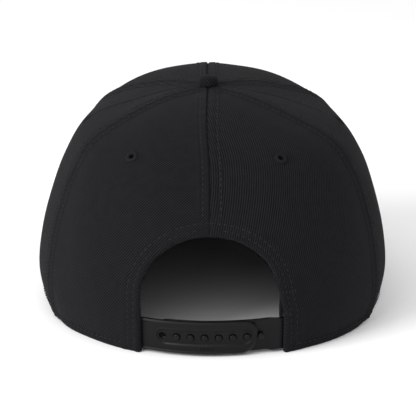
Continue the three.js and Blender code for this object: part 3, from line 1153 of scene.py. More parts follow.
class StitchRows:
    """Turns lines into rows of stitches with one node group.

    Args:
        wardrobe: The materials.
    """

    def __init__(self, wardrobe: Wardrobe) -> None:
        """Makes the node group."""
        self.thread = wardrobe.thread
        self.group = self._group()

    def _group(self) -> NodeTree:
        """Makes the node group, with named inputs for the sizes of the stitches.

        Returns:
            The group.
        """
        group = bpy.data.node_groups.new("stitch_row", "GeometryNodeTree")
        face = group.interface
        face.new_socket("Lines", in_out="INPUT", socket_type="NodeSocketGeometry")
        for name in ("Pitch", "Length", "Radius"):
            face.new_socket(name, in_out="INPUT", socket_type="NodeSocketFloat")
        face.new_socket("Seed", in_out="INPUT", socket_type="NodeSocketInt")
        face.new_socket("Thread", in_out="INPUT", socket_type="NodeSocketMaterial")
        face.new_socket("Stitches", in_out="OUTPUT", socket_type="NodeSocketGeometry")

        def step(kind: str, inputs: dict | None = None, **settings: object) -> NodeSocket:
            """Adds a node and gives its first output."""
            return add_node(group, kind, inputs, **settings).outputs[0]

        given = add_node(group, "NodeGroupInput").outputs
        curve = step("GeometryNodeMeshToCurve", {0: given["Lines"]})
        spaced = step("GeometryNodeResampleCurve", {"Curve": curve, "Length": given["Pitch"]}, mode="LENGTH")
        tangent = step("GeometryNodeInputTangent")
        turn = step("FunctionNodeAlignRotationToVector", {"Vector": tangent}, axis="X")
        bead = step("GeometryNodeMeshUVSphere", {"Segments": 8, "Rings": 6, "Radius": 1.0})
        half = math_node(group, "MULTIPLY", given["Length"], 0.5)
        size = step("ShaderNodeCombineXYZ", {0: half, 1: given["Radius"], 2: given["Radius"]})
        stitch = step("GeometryNodeTransform", {"Geometry": bead, "Scale": size})
        spread = {"Min": StitchSizes.least, "Max": StitchSizes.most, "Seed": given["Seed"]}
        varied = step("FunctionNodeRandomValue", spread, data_type="FLOAT_VECTOR")
        places = {"Points": spaced, "Instance": stitch, "Rotation": turn, "Scale": varied}
        real = step("GeometryNodeRealizeInstances", {0: step("GeometryNodeInstanceOnPoints", places)})
        smooth = step("GeometryNodeSetShadeSmooth", {0: real})
        coloured = step("GeometryNodeSetMaterial", {"Geometry": smooth, "Material": given["Thread"]})
        add_node(group, "NodeGroupOutput", {0: coloured})
        return group

    def sew(
        self, name: str, lines: Sequence[np.ndarray], slot: Slot, sizes: StitchSizes = StitchSizes()
    ) -> Object:
        """Sews rows of stitches along lines.

        Args:
            name: Name of the piece.
            lines: Points of each row.
            slot: The record's slot. Not used.
            sizes: Sizes of the stitches.

        Returns:
            The stitches, as one piece.
        """
        edges = []
        start = 0
        for line in lines:
            edges += [(start + i, start + i + 1) for i in range(len(line) - 1)]
            start += len(line)
        mesh = bpy.data.meshes.new(name)
        mesh.from_pydata(np.concatenate(lines).tolist(), edges, [])
        piece = bpy.data.objects.new(name, mesh)
        bpy.context.scene.collection.objects.link(piece)
        modifier = piece.modifiers.new("stitches", "NODES")
        modifier.node_group = self.group
        values = {
            "Pitch": sizes.pitch,
            "Length": sizes.length,
            "Radius": sizes.radius,
            "Seed": sizes.seed,
            "Thread": self.thread,
        }
        for item in self.group.interface.items_tree:
            if item.in_out == "INPUT" and item.name in values:
                modifier[item.identifier] = values[item.name]
        bake(piece)
        return dress(piece, self.thread)


@dataclass
class SubAssembly:
    """A group of pieces that is built and dressed together.

    Args:
        shape: Outside of the crown.
        arch: Outline of the arch.
        wardrobe: The materials.
        stitches: Sews the rows.
    """

    shape: CrownShape
    arch: ArchShape
    wardrobe: Wardrobe
    stitches: StitchRows


# Crown


@dataclass(frozen=True)
class ReliefSizes:
    """Relief of the cloth at the seams, the rim and the arch."""

    valley: float = 0.08 * MM
    centre_valley: float = 0.85 * MM
    valley_width: float = 0.5 * MM
    ridge: float = 1.1 * MM
    ridge_width: float = 0.75 * MM
    crease: float = 0.45 * MM
    crease_width: float = 1.4 * MM
    crease_sway: float = 1.2 * MM
    allowance: float = 0.42 * MM
    allowance_width: float = 6.6 * MM
    seam_row: float = 4.2 * MM
    centre_row: float = 6 * MM
    groove: float = 0.3 * MM
    groove_width: float = 0.6 * MM
    pucker: float = 0.14 * MM
    pucker_width: float = 4.5 * MM
    rim_row: float = 4 * MM
    rim_round: float = 0.85 * MM
    rim_pucker: float = 0.1 * MM
    arch_rows: tuple[float, float] = (2.6 * MM, 5.5 * MM)
    arch_bulge: float = 0.35 * MM
    arch_round: float = 0.8 * MM
    arch_pucker: float = 0.12 * MM
    hem: float = 0.35 * MM
    hem_width: float = 9.5 * MM
    dent: float = 0.4 * MM
    stitch_rise: float = 0.25 * MM
    arch_stitch_rise: float = 0.05 * MM


@dataclass(frozen=True)
class TackSizes:
    """Sizes of the tacks that hold the strap at the right foot of the arch."""

    heights: tuple[float, float] = (20.5 * MM, 31.5 * MM)
    reaches: tuple[float, float] = (4.2 * MM, 6.8 * MM)
    start: float = 1.2 * MM
    rows: int = 4
    row_pitch: float = 0.42 * MM
    rise: float = 0.32 * MM
    stitch: StitchSizes = StitchSizes(1.3 * MM, 1.2 * MM, 0.2 * MM)


@dataclass(frozen=True)
class RollSizes:
    """Sizes of the rolled edge round the arch, which is an oval in section."""

    offset: float = 0.4 * MM
    depth: float = 1.2 * MM
    half_width: float = 0.9 * MM
    half_height: float = 1.5 * MM
    sides: int = 14


@dataclass(frozen=True)
class EyeletSizes:
    """Sizes of the embroidered rings, outside and inside the panels."""

    radius: float = 3.35 * MM
    bore: float = 1.15 * MM
    rise: float = 0.95 * MM
    hole: float = 1.25 * MM
    outer_sink: float = 0.1 * MM
    inner_gap: float = 0.3 * MM
    threads: int = 30
    thread_depth: float = 0.1 * MM


@dataclass(frozen=True)
class ButtonSizes:
    """How far the button's cover passes its solid, and its height."""

    spread: float = 0.35 * MM
    rise: float = 0.3 * MM
    height: float = 5.4 * MM
    gathers: float = 0.12 * MM


# Half section of the button's cover: shares of its radius and of its height
BUTTON_SECTION = np.array(
    [[0, 0], [0.5, 0], [0.88, 0.0], [0.97, 0.1], [1, 0.26], [1, 0.42], [0.98, 0.58], [0.93, 0.72]]
    + [[0.83, 0.85], [0.66, 0.94], [0.42, 0.985], [0.2, 0.998], [0, 1]]
)

# Rows of a panel's mesh near the rim, by height, and its columns near a seam, by distance
RIM_ROWS = np.array([0, 0.08, 0.25, 0.5, 0.85, 1.4, 2.2, 3.0, 3.5, 4.0, 4.5, 5.0, 6.0, 7.5, 9.5]) * MM
SEAM_COLUMNS = np.array([0, 0.25, 0.5, 0.8, 1.2, 1.8, 2.6, 3.2, 3.7, 4.2, 4.7, 5.2, 5.8, 6.4, 7.2]) * MM

# Height and width that every panel's mesh is divided for, and the radius at which it ends under the button
PANEL_HEIGHT = 150 * MM
PANEL_WIDTH = 92 * MM
HIDDEN_RADIUS = 2.7 * MM


@dataclass(frozen=True)
class PanelGrid:
    """A panel's mesh by column and row: its places on the crown, and its distances from the two seams."""

    bearing: np.ndarray
    level: np.ndarray
    start: np.ndarray
    end: np.ndarray
    along: np.ndarray
    uv: np.ndarray


def ripple(along: np.ndarray, seed: float) -> np.ndarray:
    """Uneven puckers along a stitched row.

    Args:
        along: Distance along the row.
        seed: A number that makes the row's puckers its own.

    Returns:
        Shares from about -1 to 1.
    """
    first = np.sin(2 * math.pi * along / (9.3 * MM) + seed * 1.7)
    second = np.sin(2 * math.pi * along / (5.6 * MM) + seed * 2.9)
    third = np.sin(2 * math.pi * along / (23 * MM) + seed)
    return (first + 0.6 * second + 0.8 * third) / 2


@dataclass
class Crown(SubAssembly):
    """The six panels, their stitches, the eyelets and the button."""

    relief: ReliefSizes = ReliefSizes()
    tack: TackSizes = TackSizes()
    rolled: RollSizes = RollSizes()
    eyelet: EyeletSizes = EyeletSizes()
    button: ButtonSizes = ButtonSizes()

    def build(self) -> None:
        """Builds every piece of the crown."""
        self._build_panels()
        self._sew_seams()
        self._sew_arch()
        self._roll_arch()
        self._build_eyelets()
        self._build_button()

    def _seam_relief(self, away: np.ndarray, along: np.ndarray, step: float, seam: float) -> np.ndarray:
        """Relief of the cloth beside one seam.

        Args:
            away: Distance from the seam.
            along: Distance along it.
            step: How proud of its neighbour the panel lies there.
            seam: The seam's bearing.

        Returns:
            Height of the relief.
        """
        r = self.relief
        valley = r.centre_valley if seam in (FRONT_SEAM, CENTRE_SEAM) else r.valley
        raised = r.allowance * (1 - smoothstep(away, r.allowance_width * 0.72, r.allowance_width))
        raised = raised - valley * bell(away, 0, r.valley_width)
        raised = raised - r.groove * bell(away, r.seam_row, r.groove_width)
        raised = raised + step * bell(away, r.ridge, r.ridge_width)
        fade = bell(away, r.seam_row * 0.8, r.pucker_width)
        return raised + r.pucker * fade * ripple(along, seam)

    def _arch_relief(self, away: np.ndarray, along: np.ndarray) -> np.ndarray:
        """Relief of the cloth beside the arch.

        Args:
            away: Distance from the edge of the arch.
            along: Where its puckers are read.

        Returns:
            Height of the relief.
        """
        r = self.relief
        raised = r.hem * (1 - smoothstep(away, r.hem_width * 0.8, r.hem_width))
        for row in r.arch_rows:
            raised = raised - r.groove * bell(away, row, r.groove_width)
        raised = raised + r.arch_bulge * bell(away, 1.2 * MM, 0.9 * MM)
        return raised + r.arch_pucker * bell(away, 4.5 * MM, 4 * MM) * ripple(along, 3.0)

    def _panel_grid(self, plan: PanelPlan) -> PanelGrid:
        """Lays out a panel's mesh, fine at its seams and its rim.

        Args:
            plan: The panel.

        Returns:
            The mesh's places and distances.
        """
        shape = self.shape
        middle = (plan.start + plan.end) / 2
        low_levels = shape.level_at(middle, RIM_ROWS)
        top = float(shape.level_at_radius(middle, HIDDEN_RADIUS))
        upper = np.linspace(low_levels[-1], top, int(PANEL_HEIGHT / plan.cell))[1:]
        wide = int(PANEL_WIDTH / plan.cell)
        fine = np.linspace(plan.start, plan.end, 121)
        bearings, from_start, from_end, levels = [], [], [], []
        for level in np.concatenate([low_levels, upper]):
            line = shape.point(fine, level)
            run = np.concatenate([[0], np.cumsum(np.linalg.norm(np.diff(line, axis=0), axis=1))])
            width = run[-1]
            edge = SEAM_COLUMNS * min(1.0, 0.36 * width / SEAM_COLUMNS[-1])
            inside = np.linspace(edge[-1], width - edge[-1], wide)[1:-1]
            at = np.concatenate([edge, inside, (width - edge)[::-1]])
            bearings.append(np.interp(at, run, fine))
            from_start.append(at)
            from_end.append(width - at)
            levels.append(np.full(at.shape, level))
        bearing, level, start, end = (np.array(rows).T for rows in (bearings, levels, from_start, from_end))
        for j, height in enumerate(RIM_ROWS):
            level[:, j] = shape.level_at(bearing[:, j], height)
        centre = shape.point(middle, level[len(level) // 2])
        along = np.concatenate([[0], np.cumsum(np.linalg.norm(np.diff(centre, axis=0), axis=1))])
        along = np.broadcast_to(along, bearing.shape)
        uv = np.stack([(start - end) / 2, along], axis=-1)
        return PanelGrid(bearing, level, start, end, along, uv)

    def _panel(self, plan: PanelPlan) -> Object:
        """Makes one panel with its relief, before it is cut.

        Args:
            plan: The panel.

        Returns:
            The panel.
        """
        shape, r = self.shape, self.relief
        grid = self._panel_grid(plan)
        along, across = grid.along, grid.uv[..., 0]
        base = shape.point(grid.bearing, grid.level)
        x = base[..., 0] - shape.axis[0]
        y = base[..., 1] - shape.axis[1]
        height = base[..., 2] - shape.rim(x, y)
        rise = self._seam_relief(grid.start, along, plan.step_start, plan.start)
        rise = rise + self._seam_relief(grid.end, along, plan.step_end, plan.end % FULL_TURN)
        dent = np.sin(across / (11 * MM) + plan.start) * np.sin(along / (13 * MM) + 1.3 * plan.start)
        dent = dent + 0.7 * np.sin(across / (7 * MM) - along / (17 * MM) + plan.end)
        rise = rise + r.dent * dent / 1.7 * smoothstep(np.minimum(grid.start, grid.end), 3 * MM, 18 * MM)
        if plan.name.startswith("side"):
            upper = smoothstep(grid.level, 0.62, 0.7) * (1 - smoothstep(grid.level, 0.93, 0.97))
            swayed = across + r.crease_sway * np.sin(along / (9 * MM))
            rise = rise + r.crease * upper * bell(swayed, 0, r.crease_width)
        rise = rise - r.groove * bell(height, r.rim_row, r.groove_width)
        rise = rise + r.rim_pucker * bell(height, r.rim_row, 3 * MM) * ripple(across, plan.end)
        edge = round_over(height, r.rim_round)
        if plan.name.startswith("back"):
            away = self.arch.distance(x, base[..., 2])
            hem = self._arch_relief(away, x - base[..., 2])
            kept = 0.35 + 0.65 * smoothstep(away, 6 * MM, 12 * MM)
            rise = rise * kept + hem * smoothstep(away, -3 * MM, 0)
            edge = np.maximum(edge, round_over(np.maximum(away, 0), r.arch_round))
        outer = shape.layer(grid.bearing, grid.level, edge - rise)
        inner = shape.layer(grid.bearing, grid.level, shape.sizes.wall - edge)
        return closed_sheet(f"panel_{plan.name}", outer, inner, grid.uv)

    def _eyelet_seat(self, plan: PanelPlan) -> tuple[np.ndarray, np.ndarray]:
        """Finds where a panel's eyelet stands.

        Args:
            plan: The panel.

        Returns:
            The point on the outside and the unit vector away from it.
        """
        bearing = plan.start + plan.eyelet_across * (plan.end - plan.start)
        level = self.shape.level_at(bearing, plan.eyelet_up * self.shape.sizes.height)
        return self.shape.point(bearing, level), self.shape.normal(bearing, level)

    def _arch_cutter(self) -> Object:
        """Makes the block that cuts the opening of the arch.

        Returns:
            The block.
        """
        outline = self.arch.path(0, -20 * MM, 140)
        x = outline[:, 0] + self.shape.axis[0]
        behind, axis = -200 * MM, self.shape.axis[1]
        far, near = (np.stack([x, np.full(x.shape, y), outline[:, 1]], axis=1) for y in (behind, axis))
        count = len(x)
        faces: list[Sequence[int]] = [list(range(count)), list(range(2 * count - 1, count - 1, -1))]
        for i in range(count):
            j = (i + 1) % count
            faces.append((j, i, i + count, j + count))
        piece = mesh_object("arch_cutter", np.concatenate([far, near]), faces)
        turn_outwards(piece)
        return piece

    def _build_panels(self) -> None:
        """Builds the six panels with their holes."""
        for plan in PANELS:
            piece = self._panel(plan)
            place, direction = self._eyelet_seat(plan)
            cutters = [drill(place, direction, self.eyelet.hole, 6 * MM)]
            if plan.name.startswith("back"):
                cutters.append(self._arch_cutter())
            cut(piece, cutters)
            right = plan.name.endswith("right")
            cloth = self.wardrobe.twill_right if right else self.wardrobe.twill
            dress(piece, cloth, [f"crown_{plan.name}"])

    def _sew_seams(self) -> None:
        """Sews the twin rows beside each seam and the row above the rim."""
        shape, r = self.shape, self.relief
        lines = []
        for seam in SEAMS:
            centre = seam == CENTRE_SEAM
            low = self.arch.sizes.top + 9 * MM if centre else 1.5 * MM
            level = np.linspace(float(shape.level_at(seam, low)), float(shape.level_at_radius(seam, 12 * MM)), 90)
            for offset in (-(r.centre_row if centre else r.seam_row), r.seam_row):
                lines.append(shape.layer(seam + shape.turn(offset, seam, level), level, -r.stitch_rise))
        self.stitches.sew("seam_stitches", lines, Slot.OUTER)
        beside, level_there = 9 * MM, 0.02
        right = float(shape.bearing_at(self.arch.right + beside, level_there))
        left = float(shape.bearing_at(self.arch.left - beside, level_there))
        bearing = np.linspace(left - FULL_TURN, right, 400)
        row = shape.layer(bearing, shape.level_at(bearing, r.rim_row), -r.stitch_rise)
        self.stitches.sew("rim_stitches", [row], Slot.OUTER)

    def _sew_arch(self) -> None:
        """Sews the two rows round the arch and the tacks at its right foot."""
        shape, r, tack = self.shape, self.relief, self.tack
        lines = []
        for offset, low in zip(r.arch_rows, (2.5 * MM, 4.4 * MM)):
            path = self.arch.path(offset, low, 150)
            lines.append(shape.layer(*shape.on_back(path[:, 0], path[:, 1]), -r.arch_stitch_rise))
        self.stitches.sew("arch_stitches", lines, Slot.OUTER)
        tacks = []
        for height, reach in zip(tack.heights, tack.reaches):
            x = self.arch.right + np.linspace(tack.start, reach, 12)
            for row in range(tack.rows):
                tacks.append(shape.layer(*shape.on_back(x, height + row * tack.row_pitch), -tack.rise))
        self.stitches.sew("strap_tacks", tacks, Slot.OUTER, tack.stitch)

    def _roll_arch(self) -> None:
        """Adds the rolled edge round the arch."""
        roll, sides = self.rolled, self.rolled.sides
        path = self.arch.path(roll.offset, 0.4 * MM, 220)
        bearing, level = self.shape.on_back(path[:, 0], path[:, 1])
        centre = self.shape.layer(bearing, level, roll.depth)
        normal = self.shape.normal(bearing, level)
        along = np.gradient(centre, axis=0)
        along = along / np.linalg.norm(along, axis=1, keepdims=True)
        side = np.cross(along, normal)
        angle = np.linspace(0, 2 * math.pi, sides, endpoint=False)
        across = side[:, None, :] * (roll.half_width * np.cos(angle))[None, :, None]
        upward = normal[:, None, :] * (roll.half_height * np.sin(angle))[None, :, None]
        ring = centre[:, None, :] + across + upward
        count = len(path)
        faces: list[Sequence[int]] = []
        for i in range(count - 1):
            for j in range(sides):
                k = (j + 1) % sides
                faces.append((i * sides + j, i * sides + k, (i + 1) * sides + k, (i + 1) * sides + j))
        faces.append(list(range(sides))[::-1])
        faces.append([(count - 1) * sides + j for j in range(sides)])
        run = np.repeat(np.arange(count) * 0.7 * MM, sides)
        uv = np.stack([run, np.tile(np.arange(sides) * 0.4 * MM, count)], axis=1)
        piece = mesh_object("arch_roll", ring.reshape(-1, 3), faces, uv)
        turn_outwards(piece)
        dress(piece, self.wardrobe.twill)

    def _build_eyelets(self) -> None:
        """Builds the embroidered rings, outside and inside."""
        e = self.eyelet
        turns = np.linspace(0, 2 * math.pi, 15)[:-1]
        middle = (e.radius + e.bore) / 2
        half = (e.radius - e.bore) / 2
        profile = np.stack([middle + half * np.cos(turns), e.rise * np.sin(turns)], axis=1)

        def threads(angle: np.ndarray, row: int) -> np.ndarray:
            """Height of the threads that are wound round the ring."""
            return e.thread_depth * np.cos(e.threads * angle) * (0.4 + 0.6 * abs(math.sin(turns[row])))

        for plan in PANELS:
            place, direction = self._eyelet_seat(plan)
            rings = []
            for depth in (e.outer_sink, self.shape.sizes.wall + e.inner_gap):
                ring = revolved("ring", profile, 180, threads)
                place_on(ring, place - depth * direction, direction)
                rings.append(ring)
            piece = joined(f"eyelet_ring_{plan.name}", rings)
            dress(piece, self.wardrobe.satin, [f"eyelet_{plan.name}"])

    def _build_button(self) -> None:
        """Builds the covered button."""
        low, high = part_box("button")
        radius = (high.x - low.x) / 2 + self.button.spread
        bottom = high.z + self.button.rise - self.button.height

        def gathers(angle: np.ndarray, row: int) -> np.ndarray:
            """Height of the gathers under the rim of the cover."""
            fade = max(0.0, 1 - BUTTON_SECTION[row][1] * 1.6) * min(1.0, BUTTON_SECTION[row][0] * 1.2)
            return self.button.gathers * fade * (np.cos(11 * angle) + 0.5 * np.cos(17 * angle + 1))

        piece = revolved("button_cover", BUTTON_SECTION * np.array([radius, self.button.height]), 96, gathers)
        place_on(piece, np.array([(low.x + high.x) / 2, (low.y + high.y) / 2, bottom]), np.array([0, 0, 1]))
        dress(piece, self.wardrobe.twill, ["button"])


# Inside


@dataclass(frozen=True)
class BandSizes:
    """Sizes of the bands inside the crown."""

    facing_width: float = 12 * MM
    facing_thickness: float = 1.4 * MM
    facing_lift: float = 0.5 * MM
    facing_low: float = 19 * MM
    band_low: float = 1 * MM
    band_high: float = 31 * MM
    band_row: float = 3 * MM
    band_thickness: float = 1.3 * MM
    band_groove: float = 0.2 * MM
    band_wave: float = 0.25 * MM
    tape_width: float = 10 * MM
    tape_thickness: float = 0.8 * MM
    tape_row: float = 0.36
    tape_groove: float = 0.15 * MM


# Steps across the facing, from the edge of the arch
FACING_STEPS = np.array([0.3, 0.5, 0.9, 2, 3, 5, 7, 9, 10.6, 11.3, 11.6]) * MM

# Columns across a tape, as shares of its width
TAPE_COLUMNS = np.array([-0.5, -0.485, -0.45, -0.36, -0.2, 0, 0.2, 0.36, 0.45, 0.485, 0.5])

# Each tape's name, its seam and the height above the rim at which it starts
TAPES = (
    ("front_centre", FRONT_SEAM, 31.3 * MM),
    ("front_right", SIDE_SEAM, 31.3 * MM),
    ("back_right", BACK_SEAM, 31.3 * MM),
    ("back_centre", CENTRE_SEAM, 74.1 * MM),
    ("back_left", BACK_SEAM_LEFT, 31.3 * MM),
    ("front_left", SIDE_SEAM_LEFT, 31.3 * MM),
)


@dataclass
class Inside(SubAssembly):
    """The sweatband, the facing of the arch and the seam tapes."""

    sizes: BandSizes = BandSizes()

    def build(self) -> None:
        """Builds every band inside the crown."""
        self._build_sweatband()
        self._build_facing()
        self._build_tapes()

    def _build_sweatband(self) -> None:
        """Builds the sweatband with its hemmed edges and two rows of stitches."""
        shape, s = self.shape, self.sizes
        beside, level_there = s.facing_width + 0.6 * MM, 0.1
        right = float(shape.bearing_at(self.arch.right + beside, level_there))
        left = float(shape.bearing_at(self.arch.left - beside, level_there))
        bearings = np.linspace(left - FULL_TURN, right, 320)
        heights = np.concatenate(
            [s.band_low + np.array([0, 0.15, 0.4, 0.9, 2, 2.6, 3, 3.4, 4.2]) * MM, np.linspace(6, 26, 11) * MM]
            + [s.band_high - np.array([3.6, 3, 2.4, 1.6, 0.9, 0.4, 0.15, 0]) * MM]
        )
        bearing = np.repeat(bearings[:, None], len(heights), axis=1)
        height = np.repeat(heights[None, :], len(bearings), axis=0)
        level = shape.level_at(bearing, height)
        worn = round_over(np.minimum(height - s.band_low, s.band_high - height), 0.5 * MM)
        along = np.radians(bearing) * 90 * MM
        wave = s.band_wave * np.sin(along / (6 * MM)) * bell(height, s.band_high, 8 * MM)
        rows = (s.band_low + s.band_row, s.band_high - s.band_row)
        groove = s.band_groove * sum(bell(height, row, 0.6 * MM) for row in rows)
        depth = shape.sizes.lining_depth
        outer = shape.layer(bearing, level, depth + worn)
        inner = shape.layer(bearing, level, depth + s.band_thickness - worn + wave - groove)
        piece = closed_sheet("sweatband_cloth", outer, inner, np.stack([along, height], axis=-1))
        dress(piece, self.wardrobe.cotton, ["sweatband"])
        inside = depth + s.band_thickness
        lines = [shape.layer(bearings, shape.level_at(bearings, row), inside) for row in rows]
        self.stitches.sew("sweatband_stitches", lines, Slot.INNER)

    def _build_facing(self) -> None:
        """Builds the band inside the edge of the arch."""
        shape, s = self.shape, self.sizes
        count = 200
        bearing = np.zeros((count, len(FACING_STEPS)))
        level = np.zeros(bearing.shape)
        for j, step in enumerate(FACING_STEPS):
            path = self.arch.path(step, s.facing_low, count, flared=False)
            bearing[:, j], level[:, j] = shape.on_back(path[:, 0], path[:, 1])
        edge = np.minimum(FACING_STEPS - FACING_STEPS[0], FACING_STEPS[-1] - FACING_STEPS)
        worn = round_over(edge, 0.4 * MM)
        depth = shape.sizes.lining_depth - s.facing_lift
        outer = shape.layer(bearing, level, depth + worn)
        inner = shape.layer(bearing, level, depth + s.facing_thickness - worn)
        run = np.broadcast_to(np.linspace(0, 150 * MM, count)[:, None], bearing.shape)
        uv = np.stack([run, np.broadcast_to(FACING_STEPS, run.shape)], axis=-1)
        piece = closed_sheet("arch_facing_cloth", outer, inner, uv)
        # The facing's dark cotton is painted shade inside the arch's edge
        dress(piece, self.wardrobe.lining, ["arch_facing"])

    def _build_tapes(self) -> None:
        """Builds the tapes over the seams, with twin rows of stitches."""
        shape, s = self.shape, self.sizes
        depth = shape.sizes.lining_depth
        lines = []
        for name, seam, low in TAPES:
            levels = np.linspace(float(shape.level_at(seam, low)), float(shape.level_at_radius(seam, 11 * MM)), 60)
            level = np.repeat(levels[None, :], len(TAPE_COLUMNS), axis=0)
            share = np.repeat(TAPE_COLUMNS[:, None], len(levels), axis=1)
            bearing = seam + shape.turn(s.tape_width * share, seam, level)
            worn = round_over((0.5 - np.abs(share)) * s.tape_width, 0.35 * MM)
            groove = s.tape_groove * bell(np.abs(share), s.tape_row, 0.05)
            outer = shape.layer(bearing, level, depth + worn)
            inner = shape.layer(bearing, level, depth + s.tape_thickness - worn - groove)
            uv = np.stack([share * s.tape_width, level * 170 * MM], axis=-1)
            piece = closed_sheet(f"tape_cloth_{name}", outer, inner, uv)
            dress(piece, self.wardrobe.cotton, [f"tape_{name}"])
            for side in (-s.tape_row, s.tape_row):
                turned = seam + shape.turn(s.tape_width * side, seam, levels)
                lines.append(shape.layer(turned, levels, depth + s.tape_thickness))
        self.stitches.sew("tape_stitches", lines, Slot.INNER)


# Visor


@dataclass(frozen=True)
class VisorFinish:
    """Sizes of the visor's rows of stitches and of its edges."""

    first_row: float = 3.2 * MM
    row_pitch: float = 6.5 * MM
    rows: int = 7
    ridge: float = 0.07 * MM
    inset: float = 0.4 * MM
    clear: float = 2.5 * MM
    least_points: int = 8


# Rows of the visor's mesh near its edge, as shares of its length counted from the edge
EDGE_ROWS = np.array([5, 4, 3, 2.4, 1.9, 1.4, 1, 0.7, 0.4, 0.2, 0.08, 0]) / 100


@dataclass
class Visor(SubAssembly):
    """The covered board and the cloth under it."""

    finish: VisorFinish = VisorFinish()

    def _plan(self, share: np.ndarray, out: np.ndarray) -> np.ndarray:
        """Finds places in plan between the crown's wall and the visor's edge.

        Args:
            share: From -1 at the left temple to 1 at the right one.
            out: From 0 at the wall to 1 at the edge.

        Returns:
            Points in plan, measured from the axis.
        """
        visor = self.shape.visor
        bearing = share * visor.bearing
        thick = visor.under_thickness + visor.gap + visor.top_thickness
        wall = np.stack(self.shape.plan(bearing, self.shape.level_at(bearing, thick / 2)), axis=-1)
        radius = np.linalg.norm(wall, axis=-1, keepdims=True)
        wall = wall * (radius - self.finish.inset) / radius
        return wall + (self.shape.visor_edge(share) - wall) * out[..., None]

    def _layer(self, name: str, low: float, high: float, round_low: float, round_high: float) -> Object:
        """Makes a layer of the visor with rounded edges.

        Args:
            name: Name of the piece.
            low: Height of its underside over the visor's underside.
            high: Height of its upper side.
            round_low: Rounding of its lower edge.
            round_high: Rounding of its upper edge.

        Returns:
            The layer.
        """
        shape, finish = self.shape, self.finish
        temples = (np.linspace(-1, -0.8, 30)[:-1], np.linspace(0.8, 1, 30)[1:])
        shares = np.concatenate([temples[0], np.linspace(-0.8, 0.8, 110), temples[1]])
        outs = np.concatenate([np.linspace(0, 0.94, 40), 1 - EDGE_ROWS])
        share = np.repeat(shares[:, None], len(outs), axis=1)
        out = np.repeat(outs[None, :], len(shares), axis=0)
        place = self._plan(share, out)
        x, y = place[..., 0], place[..., 1]
        away = np.linalg.norm(shape.visor_edge(share) - place, axis=-1)
        under = shape.underside(x, y)
        wave = np.cos(2 * math.pi * away / finish.row_pitch) * smoothstep(away, 1 * MM, 4 * MM)
        top = under + high - round_over(away, round_high) + finish.ridge * wave * 0.8
        bottom = under + low + round_over(away, round_low)
        upper, lower = (np.stack([x + shape.axis[0], y + shape.axis[1], z], axis=-1) for z in (top, bottom))
        return closed_sheet(name, upper, lower, place)

    def build(self) -> None:
        """Builds both layers and the concentric rows of stitches."""
        visor, finish = self.shape.visor, self.finish
        top_low = visor.under_thickness + 0.05 * MM
        top_high = visor.under_thickness + visor.gap + visor.top_thickness
        top = self._layer("visor_cover", top_low, top_high, 0.3 * MM, 1.9 * MM)
        dress(top, self.wardrobe.twill, ["visor_top"])
        under = self._layer("visor_lining", 0.0, visor.under_thickness, 0.6 * MM, 0.1 * MM)
        dress(under, self.wardrobe.twill, ["undervisor"])
        lines = []
        for height in (top_high, 0.0):
            for i in range(finish.rows):
                lines += self._row(finish.first_row + i * finish.row_pitch, height)
        self.stitches.sew("visor_stitches", lines, Slot.OUTER)

    def _row(self, distance: float, height: float) -> list[np.ndarray]:
        """Lays out one row of stitches.

        Args:
            distance: How far inside the visor's edge.
            height: Height over the visor's underside.

        Returns:
            The row's points, or an empty list where the crown leaves no room for it.
        """
        shape = self.shape
        share = np.linspace(-0.97, 0.97, 260)
        edge = shape.visor_edge(share)
        along = np.gradient(edge, axis=0)
        along = along / np.linalg.norm(along, axis=1, keepdims=True)
        row = edge + np.stack([along[:, 1], -along[:, 0]], axis=1) * distance
        bearing = np.degrees(np.arctan2(row[:, 0], row[:, 1]))
        wall = np.hypot(*shape.plan(bearing, 0.02))
        kept = row[np.hypot(row[:, 0], row[:, 1]) > wall + self.finish.clear]
        if len(kept) < self.finish.least_points:
            return []
        z = shape.underside(kept[:, 0], kept[:, 1]) + height
        return [np.stack([kept[:, 0] + shape.axis[0], kept[:, 1] + shape.axis[1], z], axis=1)]


# Snap closure


@dataclass(frozen=True)
class StrapSizes:
    """Sizes of the snap closure."""

    height: float = 17.7 * MM
    thickness: float = 1.4 * MM
    bottom: float = 0.8 * MM
    tab: float = 10 * MM
    corner: float = 7 * MM
    end_margin: float = 5.15 * MM
    inner_margin: float = 10.5 * MM
    shown: float = 9 * MM
    step_inset: float = 4.6 * MM
    first_hole: float = 10.6 * MM
    pitch: float = 7.05 * MM
    hole: float = 1.95 * MM
    gap: float = 0.3 * MM
    border: float = 1.0 * MM
    border_width: float = 0.5 * MM
    border_rise: float = 0.6 * MM
    inner_border_rise: float = 0.25 * MM
    channel_half: float = 3.9 * MM
    channel_depth: float = 0.6 * MM
    channel_before: float = 1.2 * MM
    channel_after: float = 6.4 * MM
    lip: float = 0.3 * MM
    pit: float = 1.15 * MM
    edge_round: float = 0.35 * MM
    cell: float = 0.22 * MM


@dataclass(frozen=True)
class StudSizes:
    """Sizes of a stud."""

    radius: float = 1.6 * MM
    root: float = 0.7 * MM
    dome: float = 0.55 * MM
    short: float = 0.05 * MM


@dataclass(frozen=True)
class RibSizes:
    """Sizes of the short ribs low on the outer strap."""

    count: int = 5
    shift: float = 2.1 * MM
    pitch: float = 1.55 * MM
    width: float = 0.4 * MM
    rise: float = 0.55 * MM
    low: float = 2 * MM
    high: float = 4.7 * MM
    fade: float = 0.4 * MM


# Steps of the strap's mesh beside its outline
STRAP_END_STEPS = np.array([0, 0.2, 0.5, 0.9, 1.3]) * MM
STRAP_SIDE_STEPS = np.array([0, 0.1, 0.25, 0.45, 0.7, 1.0, 1.3, 1.7]) * MM


